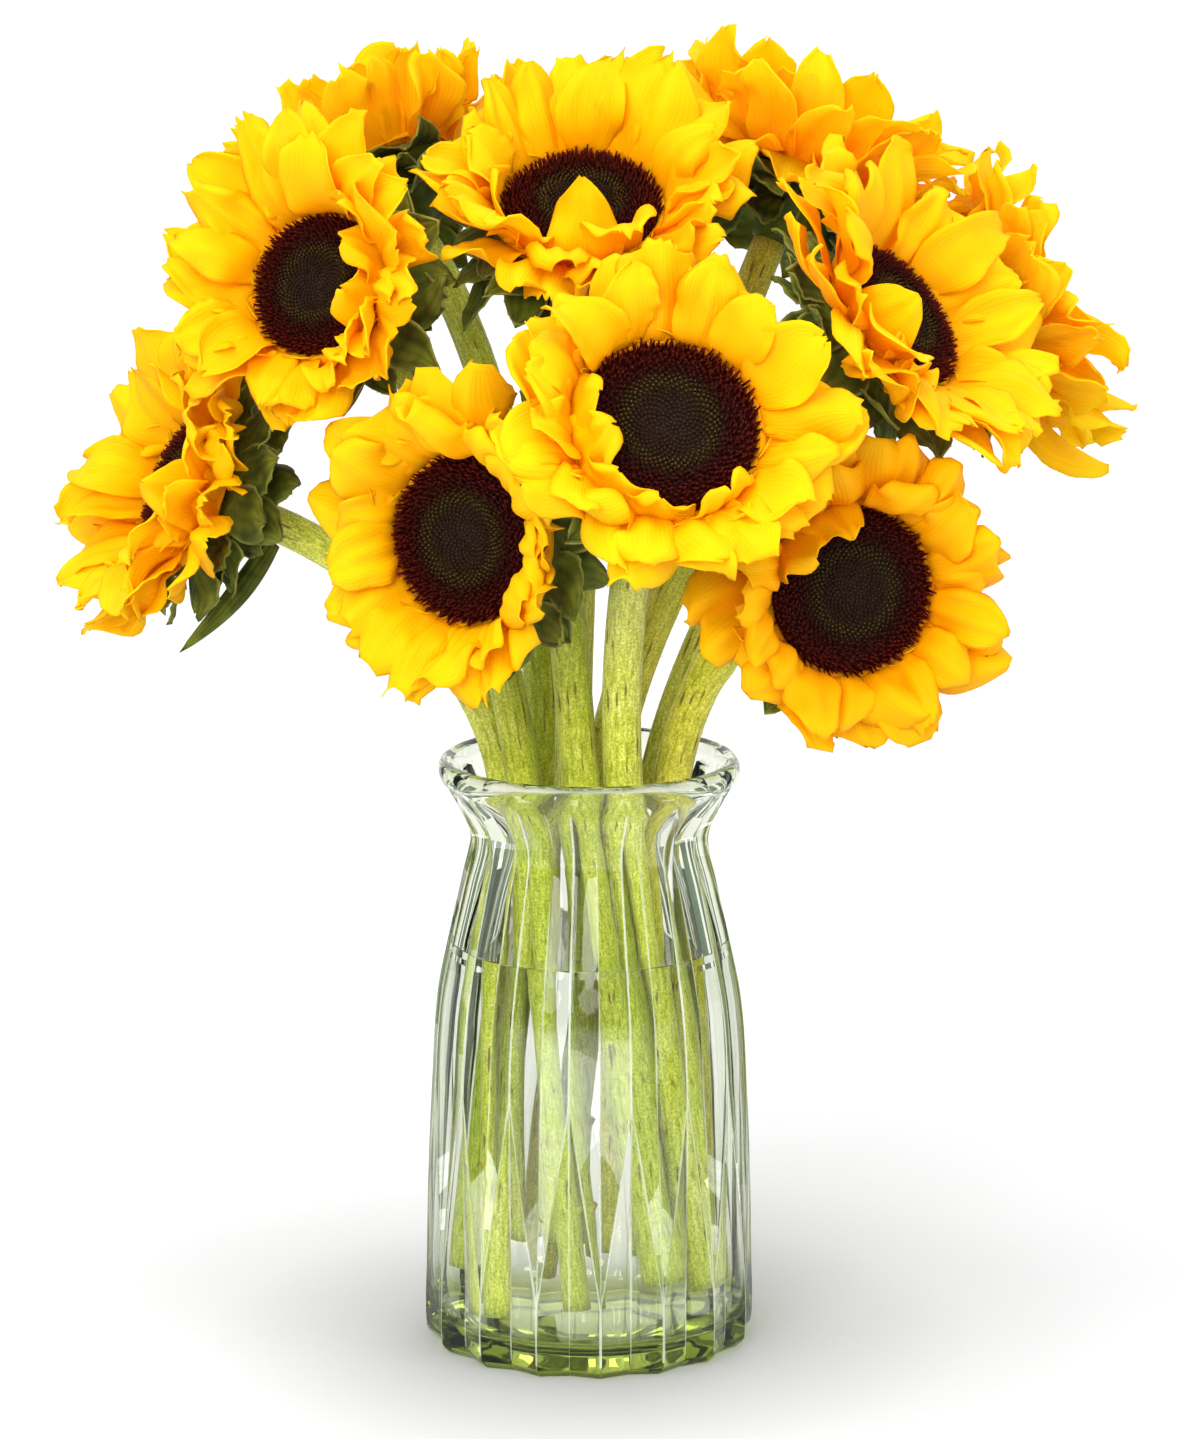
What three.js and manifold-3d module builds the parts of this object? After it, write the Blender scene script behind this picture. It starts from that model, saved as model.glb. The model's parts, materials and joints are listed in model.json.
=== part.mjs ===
import * as THREE from 'three';
import { mergeVertices } from 'three/addons/utils/BufferGeometryUtils.js';
import Module from 'manifold-3d';

// Ten cut sunflowers standing in a faceted glass vase of water.
// Millimetres, Z up, with the origin at the centre of the vase's flat bottom. The front faces -Y.

const wasm = await Module();
wasm.setup();

const GAP = 0.3; // clearance between neighbouring pieces

// Vase
const LOBES = 16; // lobes round the body, each with a ridge on either side
const LOBE_TURN = 4.1; // degrees from the front to the first ridge
const WALL = 3; // thickness of the glass
const FLOOR = 10; // thickness of the glass floor
const FLOOR_ROUNDING = 5; // between the floor and the wall, inside
const WATER_LEVEL = 146;
const WATER_HEIGHTS = [20, 127, WATER_LEVEL];
const WATER_GAP = 0.6; // between the water and the wall
// Height, radius over the ridges, and how deep the hollows between them are. Up to FOOT_RIDGES the
// ridges stand on the even columns, and from there up on the odd ones, so long facets join the two.
const FOOT_RIDGES = 26;
const VASE_OUTSIDE = [
  [0, 55.6, 1.3],
  [3.5, 58.8, 1.4],
  [FOOT_RIDGES, 58.9, 1.3],
  [100, 56.7, 1.3],
  [127, 54.7, 1.3],
  [150, 50.1, 1.2],
  [170, 45.6, 1.3],
  [186, 42.8, 1.5],
  [199, 48.2, 1.2],
];
const VASE_RIM = [
  [208, 52.4],
  [211, 53.8],
  [213.4, 52.6],
  [214, 50.8],
  [213, 48.8],
];
const VASE_INSIDE_HEIGHTS = [199, 186, 170, 127, 20];

// Stems
const HOLE_GAP = 0.36; // between a stem and the hole in the water that it stands in
const STEM_SIDES = 7;
const STEM_STEPS = 11;
const NECK_HEIGHT = 190; // where the stems are closest together
const NECK_RING = 29; // radius of the ring of outer stems in the neck
const NECK_CORE = 8; // radius of the pair of inner stems in the neck
const FOOT_RING = 40; // radius of the ring of cut ends near the floor
const FOOT_CORE = 13;
const STEM_TURN = 40; // degrees by which each stem winds round the axis on its way down
const STEM_LEAN = 55; // how far a stem keeps its lean above the neck
const STEM_CROOK = 46; // how far a stem runs straight into the back of its head

// Heads
const DISC_SIDES = 16;
const DISC_DEPTH = 6; // from the disc's rim back to its underside
const RING_WIDTH = 3; // the ring that the petals grow from, round the disc
const CALYX_DEPTH = 21; // from the disc's underside to the stem
// The disc's relief in rings: share of its radius and height, then the height of its sunken middle.
const DISC_RINGS = [
  [1, 0],
  [0.84, 3.2],
  [0.6, 4.2],
  [0.32, 2.6],
];
const DISC_MIDDLE = 1.6;
const DISC_RELIEF = 0.55;
const RING_TOP = -0.6;
const CUP_EDGE = 1.2; // the calyx's cup is this much wider than the ring
const CUP_TOP = -DISC_DEPTH - GAP;
// The cup's outline up from the stem: share of the way from the stem's radius to its own, and height.
const CUP_PROFILE = [
  [0.04, CUP_TOP - CALYX_DEPTH],
  [0.11, CUP_TOP - 14],
  [0.58, CUP_TOP - 9],
  [1, CUP_TOP - 3.5],
  [0.96, CUP_TOP],
];
const ROOT_INSET = 1.9; // from the disc's rim out to where the petals start, inside the ring
const PETAL_THICKNESS = 0.9;
const BRACT_THICKNESS = 0.9;
const BRACT_LENGTH = 27;
const BRACT_WIDTH = 13;
const CLEARANCE = 0.8; // kept between petals of neighbouring heads
const PETAL_RISES = [-40, 112]; // the most that a petal or a bract is bent either way
const BRACT_RISES = [-75, 20];
const SMALLEST_STEP = 0.08; // smaller steps in a surface are smoothed away after joining

// Each flower: the centre of its disc, the way it faces, the disc's radius, the stem's radius, the place of
// the stem in the vase's neck as a ring and an angle, and its cut end's height. Its petals have a length
// towards the right, top, left and bottom, a rise out of the disc's plane, a curl along their length and a
// width, and some are folded in over the disc: [direction, rise, length]. A few bracts are longer than the
// rest, in the same terms.
const FLOWERS = {
  centre: {
    head: [26.4, -108, 350.2], face: [0.14, -0.82, 0.55], disc: 30.5, stem: 7.2,
    ring: NECK_RING, neck: 300, foot: 24,
    lengths: [34, 36, 32, 31], rises: [14, 18, 30, 12], curl: 16, width: 25, folded: [],
  },
  lower_left: {
    head: [-41, -75, 306.6], face: [-0.52, -0.85, 0.08], disc: 28.5, stem: 7,
    ring: NECK_RING, neck: 270, foot: 30,
    lengths: [26, 36, 30, 33], rises: [48, 20, 14, 14], curl: 40, width: 21, folded: [],
  },
  lower_right: {
    head: [90, -62, 286], face: [0.32, -0.94, 0.08], disc: 28.5, stem: 7,
    ring: NECK_RING, neck: -5, foot: 18,
    lengths: [31, 32, 29, 29], rises: [12, 20, 14, 10], curl: 26, width: 21, folded: [[118, 84, 26]],
  },
  top: {
    head: [-2.3, -10, 411.6], face: [-0.02, -0.54, 0.84], disc: 27, stem: 6.4,
    ring: NECK_CORE, neck: 150, foot: 40,
    lengths: [38, 40, 32, 34], rises: [26, 28, 26, 22], curl: 14, width: 25, folded: [[-86, 104, 27]],
    longBracts: [[205, -46, 36]],
  },
  upper_left: {
    head: [-93, -35, 387.9], face: [-0.48, -0.8, 0.36], disc: 24.5, stem: 6.6,
    ring: NECK_RING, neck: 225, foot: 22,
    lengths: [36, 40, 38, 30], rises: [26, 24, 22, 20], curl: 14, width: 25, folded: [[-4, 84, 30]],
  },
  right: {
    head: [106.7, -30, 375.7], face: [0.71, -0.39, 0.58], disc: 26.5, stem: 6.4,
    ring: NECK_CORE, neck: -30, foot: 34,
    lengths: [44, 38, 34, 42], rises: [18, 26, 48, 26], curl: 12, width: 25, folded: [],
    longBracts: [[196, -34, 34]],
  },
  far_left: {
    head: [-142.4, 0, 310], face: [-0.86, -0.34, 0.39], disc: 26, stem: 6.6,
    ring: NECK_RING, neck: 180, foot: 15,
    lengths: [38, 40, 39, 35], rises: [44, 26, 20, 24], curl: 14, width: 25, folded: [],
    longBracts: [[-72, -52, 38]],
  },
  back_left: {
    head: [-74, 62, 410], face: [-0.5, 0.6, 0.62], disc: 25, stem: 6.3,
    ring: NECK_RING, neck: 130, foot: 26, crook: 64,
    lengths: [36, 38, 38, 38], rises: [30, 26, 26, 34], curl: 12, width: 24, folded: [],
  },
  back_top: {
    head: [76, 60, 415], face: [0.4, 0.3, 0.87], disc: 26, stem: 6.4,
    ring: NECK_RING, neck: 85, foot: 20,
    lengths: [42, 40, 42, 42], rises: [30, 26, 38, 44], curl: 10, width: 25, folded: [],
  },
  back_right: {
    head: [145, 62, 363], face: [0.89, 0.25, 0.38], disc: 26, stem: 6.3,
    ring: NECK_RING, neck: 40, foot: 32,
    lengths: [42, 42, 40, 40], rises: [36, 30, 30, 30], curl: 10, width: 25, folded: [],
  },
};
const LAYER_PETALS = 7; // petals in each of the two layers, the front ones between the back ones
const BRACTS = 8;

const COLOURS = {
  glass: { color: 0xcfdcd2, roughness: 0.05, metalness: 0 },
  water: { color: 0xdfeee6, roughness: 0.02, metalness: 0 },
  stem: { color: 0xa9bd4a, roughness: 0.65, metalness: 0 },
  calyx: { color: 0x4d6a28, roughness: 0.75, metalness: 0 },
  rays: { color: 0xffc90e, roughness: 0.55, metalness: 0 },
  disc: { color: 0x3c140c, roughness: 0.9, metalness: 0 },
};

// Helpers

const radians = THREE.MathUtils.degToRad;

// The same run of numbers each time, from 0 to 1.
function seeded(seed) {
  let state = seed >>> 0;
  return () => {
    state = (state + 0x6d2b79f5) >>> 0;
    let mixed = Math.imul(state ^ (state >>> 15), 1 | state);
    mixed = (mixed + Math.imul(mixed ^ (mixed >>> 7), 61 | mixed)) ^ mixed;
    return ((mixed ^ (mixed >>> 14)) >>> 0) / 4294967296;
  };
}

function onCircle(radius, degrees, height) {
  const angle = radians(degrees);
  return new THREE.Vector3(radius * Math.cos(angle), radius * Math.sin(angle), height);
}

// A geometry as a solid, with its double points merged and its flat triangles dropped.
function solidOf(geometry) {
  const bare = geometry.index ? geometry.clone() : geometry;
  bare.deleteAttribute('normal');
  bare.deleteAttribute('uv');
  const merged = mergeVertices(bare, 1e-4);
  const index = merged.index.array;
  const triVerts = [];
  for (let i = 0; i < index.length; i += 3) {
    const [a, b, c] = [index[i], index[i + 1], index[i + 2]];
    if (a !== b && b !== c && c !== a) triVerts.push(a, b, c);
  }
  return new wasm.Manifold(
    new wasm.Mesh({
      numProp: 3,
      vertProperties: merged.attributes.position.array,
      triVerts: new Uint32Array(triVerts),
    }),
  );
}

function geometryOf(solid) {
  const mesh = solid.getMesh();
  const geometry = new THREE.BufferGeometry();
  geometry.setAttribute('position', new THREE.BufferAttribute(mesh.vertProperties, 3));
  geometry.setIndex(new THREE.BufferAttribute(mesh.triVerts, 1));
  geometry.computeVertexNormals();
  return geometry;
}

function meshOf(name, solid, finish) {
  const mesh = new THREE.Mesh(geometryOf(solid), new THREE.MeshStandardMaterial(finish));
  mesh.name = name;
  return mesh;
}

// The profile, as radius and height pairs, turned round the Z axis.
function turned(profile, sides, startDegrees = 0) {
  const points = profile.map(([radius, height]) => new THREE.Vector2(radius, height));
  return new THREE.LatheGeometry(points, sides, radians(startDegrees)).rotateX(Math.PI / 2);
}

// Vase and water

// The ridge line's radius at a height, and how deep the hollows are there.
function outsideAt(height) {
  const above = VASE_OUTSIDE.findIndex(([level]) => level >= height);
  if (above < 1) return VASE_OUTSIDE[above < 0 ? VASE_OUTSIDE.length - 1 : 0].slice(1);
  const [low, high] = [VASE_OUTSIDE[above - 1], VASE_OUTSIDE[above]];
  const share = (height - low[0]) / (high[0] - low[0]);
  return [1, 2].map((k) => THREE.MathUtils.lerp(low[k], high[k], share));
}

function insideRadius(height) {
  const [ridge, hollow] = outsideAt(height);
  return ridge - hollow - WALL;
}

function makeVase() {
  const inside = VASE_INSIDE_HEIGHTS.map((height) => [insideRadius(height), height]);
  const profile = [
    [0, 0],
    ...VASE_OUTSIDE.map(([height, ridge]) => [ridge, height]),
    ...VASE_RIM.map(([height, radius]) => [radius, height]),
    ...inside,
    [insideRadius(FLOOR) - FLOOR_ROUNDING, FLOOR],
    [0, FLOOR],
  ];
  const columns = 2 * LOBES;
  const geometry = turned(profile, columns, LOBE_TURN);
  const rows = profile.length;
  const position = geometry.attributes.position;
  for (let column = 0; column <= columns; column++) {
    VASE_OUTSIDE.forEach(([height, ridge, hollow], row) => {
      const isRidge = column % 2 === (height > FOOT_RIDGES ? 1 : 0);
      const scale = isRidge ? 1 : (ridge - hollow) / ridge;
      const k = column * rows + row + 1;
      position.setXYZ(k, position.getX(k) * scale, position.getY(k) * scale, height);
    });
  }
  foldAlongRidges(geometry, rows, columns);
  return solidOf(geometry);
}

// Splits the faces between the two sets of ridges so that each fold runs from a lower to an upper ridge.
function foldAlongRidges(geometry, rows, columns) {
  const row = VASE_OUTSIDE.findIndex(([height]) => height === FOOT_RIDGES) + 1;
  const triangles = [];
  for (let column = 0; column < columns; column++) {
    for (let k = 0; k < rows - 1; k++) {
      const low = column * rows + k;
      const high = low + 1;
      const [nextLow, nextHigh] = [low + rows, high + rows];
      if (k === row && column % 2 === 0) {
        triangles.push(low, nextLow, nextHigh, low, nextHigh, high);
      } else {
        triangles.push(low, nextLow, high, nextHigh, high, nextLow);
      }
    }
  }
  geometry.setIndex(triangles);
}

// The water fills the vase up to its level, with a hole for each stem that stands in it.
function makeWater(stems) {
  const profile = [
    [0, FLOOR + GAP],
    [insideRadius(FLOOR) - FLOOR_ROUNDING - WATER_GAP, FLOOR + GAP],
    ...WATER_HEIGHTS.map((height) => [insideRadius(height) - WATER_GAP, height]),
    [0, WATER_LEVEL],
  ];
  let water = solidOf(turned(profile, 2 * LOBES, LOBE_TURN));
  for (const stem of stems) {
    water = water.subtract(stem);
  }
  return mainBody(water.simplify(SMALLEST_STEP / 4));
}

// Stems

// Straight up from the cut end through the neck, then in one bend to the back of the head. A hole for the
// stem starts a little below the cut end.
function stemPath(flower, frame, below = 0) {
  const isCore = flower.ring === NECK_CORE;
  const foot = onCircle(isCore ? FOOT_CORE : FOOT_RING, flower.neck + STEM_TURN, flower.foot);
  const neck = onCircle(flower.ring, flower.neck, NECK_HEIGHT);
  const lean = neck.clone().sub(foot).normalize();
  foot.addScaledVector(lean, -below);
  const end = new THREE.Vector3(0, 0, -DISC_DEPTH - CALYX_DEPTH - GAP * 2).applyMatrix4(frame);
  const towards = new THREE.Vector3().setFromMatrixColumn(frame, 2);
  const path = new THREE.CurvePath();
  path.add(new THREE.LineCurve3(foot, neck));
  path.add(
    new THREE.CubicBezierCurve3(
      neck,
      neck.clone().addScaledVector(lean, STEM_LEAN),
      end.clone().addScaledVector(towards, -(flower.crook ?? STEM_CROOK)),
      end,
    ),
  );
  return path;
}

function tube(path, radius, sides, steps) {
  const section = new THREE.Shape();
  for (let k = 0; k < sides; k++) {
    const angle = (2 * Math.PI * k) / sides;
    const [x, y] = [radius * Math.cos(angle), radius * Math.sin(angle)];
    if (k === 0) section.moveTo(x, y);
    else section.lineTo(x, y);
  }
  section.closePath();
  return new THREE.ExtrudeGeometry(section, { steps, bevelEnabled: false, extrudePath: path });
}

// Blades: petals and bracts

// How wide a petal is along its length, as a share of its width: widest a little short of the middle,
// narrow at the root and blunt at the tip.
function petalOutline(along) {
  const [rootWidth, widest, fullness, bluntness] = [0.42, 0.45, 2.4, 0.62];
  const root = rootWidth + (1 - rootWidth) * Math.sin((Math.PI / 2) * Math.min(1, along / widest));
  const towardsTip = Math.max(0, (along - widest) / (1 - widest));
  return root * Math.pow(1 - Math.pow(towardsTip, fullness), bluntness);
}

// A bract is widest near its root and comes to a point.
function bractOutline(along) {
  const [rootWidth, widest, sharpness] = [0.7, 0.25, 0.8];
  const root = rootWidth + (1 - rootWidth) * Math.sin((Math.PI / 2) * Math.min(1, along / widest));
  return root * Math.pow(1 - along, sharpness);
}

const FLAT_ROOT = 0.35; // the share of a blade's length over which its cupping sets in

// A point on a blade's middle surface, in its head's frame: across from -1 to 1, along from 0 to 1.
function bladePoint(blade, across, along) {
  const rise = radians(blade.rise);
  const curl = radians(blade.curl) || 1e-4;
  const reach = (blade.length * (Math.sin(rise + curl * along) - Math.sin(rise))) / curl;
  const height = (blade.length * (Math.cos(rise) - Math.cos(rise + curl * along))) / curl;
  const slope = rise + curl * along;
  const half = (blade.width / 2) * blade.outline(along);
  const twist = radians(blade.twist) * along;
  const side = across * half;
  const cup = blade.cup * Math.min(1, along / FLAT_ROOT);
  const lift = cup * half * across * across + side * Math.sin(twist);
  const radial = blade.root + reach - lift * Math.sin(slope);
  const out = blade.height + height + lift * Math.cos(slope);
  const angle = radians(blade.angle + blade.sweep * along * along);
  const sideways = side * Math.cos(twist);
  return new THREE.Vector3(
    radial * Math.cos(angle) - sideways * Math.sin(angle),
    radial * Math.sin(angle) + sideways * Math.cos(angle),
    out,
  );
}

// Which way a blade's surface faces at a point on it.
function bladeNormal(blade, across, along) {
  const step = 1e-3;
  const low = Math.min(along, 1 - step);
  const wide = Math.min(along, 0.97); // short of the tip, where the blade has no width
  const alongWay = bladePoint(blade, across, low + step).sub(bladePoint(blade, across, low));
  const acrossWay = bladePoint(blade, 1, wide).sub(bladePoint(blade, -1, wide));
  return alongWay.cross(acrossWay).normalize();
}

// Two corners at the root, three across the blade further out, and one at the tip.
function placesAcross(along, stations) {
  if (along === 1) return [0];
  return along === stations[0] ? [-1, 1] : [-1, 0, 1];
}

// A closed blade of the given thickness: both faces are split into triangles alike.
function bladeGeometry(blade, thickness, stations) {
  const front = [];
  const back = [];
  const rows = stations.map((along) =>
    placesAcross(along, stations).map((across) => {
      const point = bladePoint(blade, across, along);
      const half = along === 1 ? 0 : thickness / 2;
      const normal = bladeNormal(blade, across, along).multiplyScalar(half);
      front.push(point.clone().sub(normal));
      back.push(point.clone().add(normal));
      return front.length - 1;
    }),
  );
  const faces = [];
  for (let k = 0; k < rows.length - 1; k++) {
    const [low, high] = [rows[k], rows[k + 1]];
    if (high.length === 1) {
      for (let j = 0; j < low.length - 1; j++) faces.push([low[j], low[j + 1], high[0]]);
    } else if (low.length === 2) {
      faces.push([low[0], high[1], high[0]], [low[0], low[1], high[1]], [low[1], high[2], high[1]]);
    } else {
      faces.push([low[0], low[1], high[0]], [low[1], high[1], high[0]]);
      faces.push([low[1], high[2], high[1]], [low[1], low[2], high[2]]);
    }
  }
  const shift = front.length;
  const triangles = [];
  for (const [a, b, c] of faces) {
    triangles.push(a, b, c, shift + a, shift + c, shift + b);
  }
  const rightSide = rows.map((row) => row[row.length - 1]);
  const leftSide = rows.slice(0, -1).map((row) => row[0]);
  const rim = [...rightSide, ...leftSide.reverse()];
  rim.forEach((a, k) => {
    const b = rim[(k + 1) % rim.length];
    triangles.push(a, shift + a, shift + b, a, shift + b, b);
  });
  const geometry = new THREE.BufferGeometry().setFromPoints([...front, ...back]);
  geometry.setIndex(triangles);
  return geometry;
}

const STATIONS = [0, 0.4, 0.76, 1];
const BRACT_STATIONS = [0, 0.5, 1];
const FREE_STATIONS = [0.16, 0.4, 0.76, 1]; // the part of a blade that has to stay clear

function bladeSolid(blade, thickness, frame, stations = STATIONS) {
  return solidOf(bladeGeometry(blade, thickness, stations).applyMatrix4(frame));
}

function overlaps(solid, others) {
  const box = solid.boundingBox();
  return others.some((other) => {
    const apart = [0, 1, 2].some((k) => box.min[k] > other.box.max[k] || box.max[k] < other.box.min[k]);
    return !apart && solid.intersect(other.solid).volume() > 1e-3;
  });
}

function obstacle(solid) {
  return { solid, box: solid.boundingBox() };
}

// Ways to bend a blade that would cross a neighbour, the gentlest first: added rise, added curl and the
// share of its length that is left.
const BENDS = [
  [0, 0, 1], [10, 0, 1], [-10, 0, 1], [18, 8, 1], [-16, -10, 1], [28, 10, 1], [-24, -18, 1],
  [38, 12, 0.96], [8, 20, 0.85], [-14, 6, 0.85], [50, 14, 0.92], [-30, -24, 0.9], [62, 14, 0.88],
  [20, 20, 0.75], [-20, 0, 0.75], [74, 10, 0.85], [40, 20, 0.7], [-34, -10, 0.7], [86, 8, 0.8],
  [60, 10, 0.62],
];

// The blade bent clear of everything in its way, or nothing where no bend clears it.
function bentClear(blade, thickness, frame, others, [lowest, highest]) {
  for (const [rise, curl, share] of BENDS) {
    const length = blade.length * share;
    const bent = { ...blade, rise: blade.rise + rise, curl: blade.curl + curl, length };
    if (bent.rise < lowest || bent.rise > highest) continue;
    const probe = bladeSolid(bent, thickness + CLEARANCE, frame, FREE_STATIONS);
    if (!overlaps(probe, others)) return bent;
  }
  return null;
}

// Heads

// The head's own frame: X to the right, Y to the top, Z the way it faces.
function headFrame(flower) {
  const face = new THREE.Vector3(...flower.face).normalize();
  const right = new THREE.Vector3(1, 0, 0).addScaledVector(face, -face.x).normalize();
  const top = face.clone().cross(right);
  return new THREE.Matrix4().makeBasis(right, top, face).setPosition(...flower.head);
}

// The domed disc: rings of florets as relief, high in the ring where they open, sunken in the middle.
function makeDisc(flower, frame) {
  const profile = [
    [0, -DISC_DEPTH],
    [flower.disc, -DISC_DEPTH],
    ...DISC_RINGS.map(([share, height]) => [flower.disc * share, height]),
    [0, DISC_MIDDLE],
  ];
  const geometry = turned(profile, DISC_SIDES);
  const position = geometry.attributes.position;
  for (let side = 0; side <= DISC_SIDES; side++) {
    for (let ring = 1; ring < DISC_RINGS.length; ring++) {
      const k = side * profile.length + 2 + ring;
      const raised = (side + ring) % 2 ? DISC_RELIEF : -DISC_RELIEF;
      position.setZ(k, position.getZ(k) + raised);
    }
  }
  return solidOf(geometry.applyMatrix4(frame));
}

// One side for each petal, with the first petal at the given angle growing from the middle of its side.
function makeRing(flower, frame, start) {
  const sides = 2 * LAYER_PETALS;
  const inner = (flower.disc + GAP) / Math.cos(Math.PI / sides);
  const outer = inner + RING_WIDTH;
  const profile = [
    [inner, -DISC_DEPTH],
    [outer, -DISC_DEPTH],
    [outer - 0.5, RING_TOP],
    [inner, RING_TOP],
    [inner, -DISC_DEPTH],
  ];
  return solidOf(turned(profile, sides, start + 90 + 180 / sides).applyMatrix4(frame));
}

// The green cup behind the disc, tapering down to the stem, with one side for each bract.
function makeCup(flower, frame, start) {
  const wide = flower.disc + RING_WIDTH + CUP_EDGE;
  const outline = CUP_PROFILE.map(([share, height]) => {
    return [THREE.MathUtils.lerp(flower.stem, wide, share), height];
  });
  const profile = [[0, CUP_TOP - CALYX_DEPTH], ...outline, [0, CUP_TOP]];
  return solidOf(turned(profile, BRACTS, start + 90 + 180 / BRACTS).applyMatrix4(frame));
}

// The length or rise of a petal in a direction, from its values to the right, top, left and bottom.
function around(values, degrees) {
  const turn = (((degrees % 360) + 360) % 360) / 90;
  const k = Math.floor(turn);
  return THREE.MathUtils.lerp(values[k % 4], values[(k + 1) % 4], turn - k);
}

function petalsOf(flower, start, random) {
  const petals = [];
  const addLayer = (first, height, lift, scale, cup) => {
    for (let k = 0; k < LAYER_PETALS; k++) {
      const angle = first + ((k + 0.1 * (random() - 0.5)) * 360) / LAYER_PETALS;
      petals.push({
        angle,
        root: flower.disc + ROOT_INSET,
        height,
        length: around(flower.lengths, angle) * scale * (0.94 + 0.12 * random()),
        width: flower.width * (0.92 + 0.2 * random()),
        rise: around(flower.rises, angle) + lift + 8 * (random() - 0.5),
        curl: flower.curl + 16 * (random() - 0.5),
        cup: cup + 0.12 * random(),
        twist: 20 * (random() - 0.5),
        sweep: 8 * (random() - 0.5),
        outline: petalOutline,
      });
    }
  };
  addLayer(start, -4.4, -6, 1, 0.06);
  addLayer(start + 180 / LAYER_PETALS, -1.6, 14, 0.93, 0.3);
  flower.folded.forEach(([angle, rise, length]) => {
    petals.push({
      angle, rise, length, root: flower.disc + ROOT_INSET, height: -1.2, width: flower.width, curl: 26,
      cup: 0.35, twist: 0, sweep: 0, outline: petalOutline,
    });
  });
  return petals;
}

function bractsOf(flower, start, random) {
  const bracts = [];
  for (let k = 0; k < BRACTS; k++) {
    bracts.push({
      angle: start + ((k + 0.1 * (random() - 0.5)) * 360) / BRACTS,
      root: flower.disc - 1,
      height: -DISC_DEPTH - 2.6,
      length: BRACT_LENGTH * (0.9 + 0.25 * random()),
      width: BRACT_WIDTH,
      rise: -16 - 10 * random(),
      curl: -6 + 24 * random(),
      cup: 0.3,
      twist: 20 * (random() - 0.5),
      sweep: 10 * (random() - 0.5),
      outline: bractOutline,
    });
  }
  (flower.longBracts ?? []).forEach(([angle, rise, length]) => {
    bracts.push({
      angle, rise, length, root: flower.disc - 1, height: -DISC_DEPTH - 4, width: BRACT_WIDTH, curl: -20,
      cup: 0.3, twist: 0, sweep: 0, outline: bractOutline,
    });
  });
  return bracts;
}

// The main body of a solid, without loose scraps, and with any hollow that is sealed in it filled.
function mainBody(solid) {
  const bodies = solid.decompose();
  return bodies.reduce((most, body) => (body.volume() > most.volume() ? body : most));
}

// Adds each blade, bent clear of what is in its way, to the body that it grows from.
function growBlades(body, blades, thickness, frame, others, rises, stations) {
  let grown = body;
  for (const blade of blades) {
    const bent = bentClear(blade, thickness, frame, others, rises);
    if (bent) grown = grown.add(bladeSolid(bent, thickness, frame, stations));
  }
  return mainBody(grown.simplify(SMALLEST_STEP));
}

// The whole bunch

function makeBunch() {
  const parts = Object.entries(FLOWERS).map(([name, flower], k) => {
    const frame = headFrame(flower);
    const path = stemPath(flower, frame);
    const holePath = stemPath(flower, frame, HOLE_GAP);
    const random = seeded(101 + k);
    const start = 360 * random();
    return {
      name,
      flower,
      frame,
      random,
      start,
      stem: solidOf(tube(path, flower.stem, STEM_SIDES, STEM_STEPS)),
      hole: solidOf(tube(holePath, flower.stem + HOLE_GAP, STEM_SIDES, STEM_STEPS)),
      disc: makeDisc(flower, frame),
      cup: makeCup(flower, frame, start),
      ring: makeRing(flower, frame, start),
    };
  });
  const fixed = parts.flatMap((part) => [part.stem, part.disc, part.cup].map(obstacle));
  const rings = parts.map((part) => obstacle(part.ring));
  const petals = [];
  parts.forEach((part, k) => {
    const others = [...fixed, ...rings.filter((_, other) => other !== k), ...petals];
    part.rays = growBlades(
      part.ring, petalsOf(part.flower, part.start, part.random), PETAL_THICKNESS, part.frame, others,
      PETAL_RISES, STATIONS,
    );
    petals.push(obstacle(part.rays));
  });
  const bracts = [];
  parts.forEach((part, k) => {
    const solids = parts.flatMap((other, j) => [other.stem, other.disc, ...(j === k ? [] : [other.cup])]);
    const others = [...solids.map(obstacle), ...petals, ...bracts];
    part.calyx = growBlades(
      part.cup, bractsOf(part.flower, part.start, part.random), BRACT_THICKNESS, part.frame, others,
      BRACT_RISES, BRACT_STATIONS,
    );
    bracts.push(obstacle(part.calyx));
  });
  return parts;
}

const bunch = makeBunch();
const root = new THREE.Group();
root.name = 'sunflowers_in_vase';
root.add(meshOf('vase', makeVase(), COLOURS.glass));
root.add(meshOf('water', makeWater(bunch.map((part) => part.hole)), COLOURS.water));
for (const part of bunch) {
  root.add(meshOf(`stem_${part.name}`, part.stem, COLOURS.stem));
  root.add(meshOf(`calyx_${part.name}`, part.calyx, COLOURS.calyx));
  root.add(meshOf(`rays_${part.name}`, part.rays, COLOURS.rays));
  root.add(meshOf(`disc_${part.name}`, part.disc, COLOURS.disc));
}

export default root;
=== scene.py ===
import json
import random
from math import cos, exp, pi, radians, sin, sqrt

import bmesh
import bpy
from mathutils import Matrix, Vector
from mathutils.bvhtree import BVHTree

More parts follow.
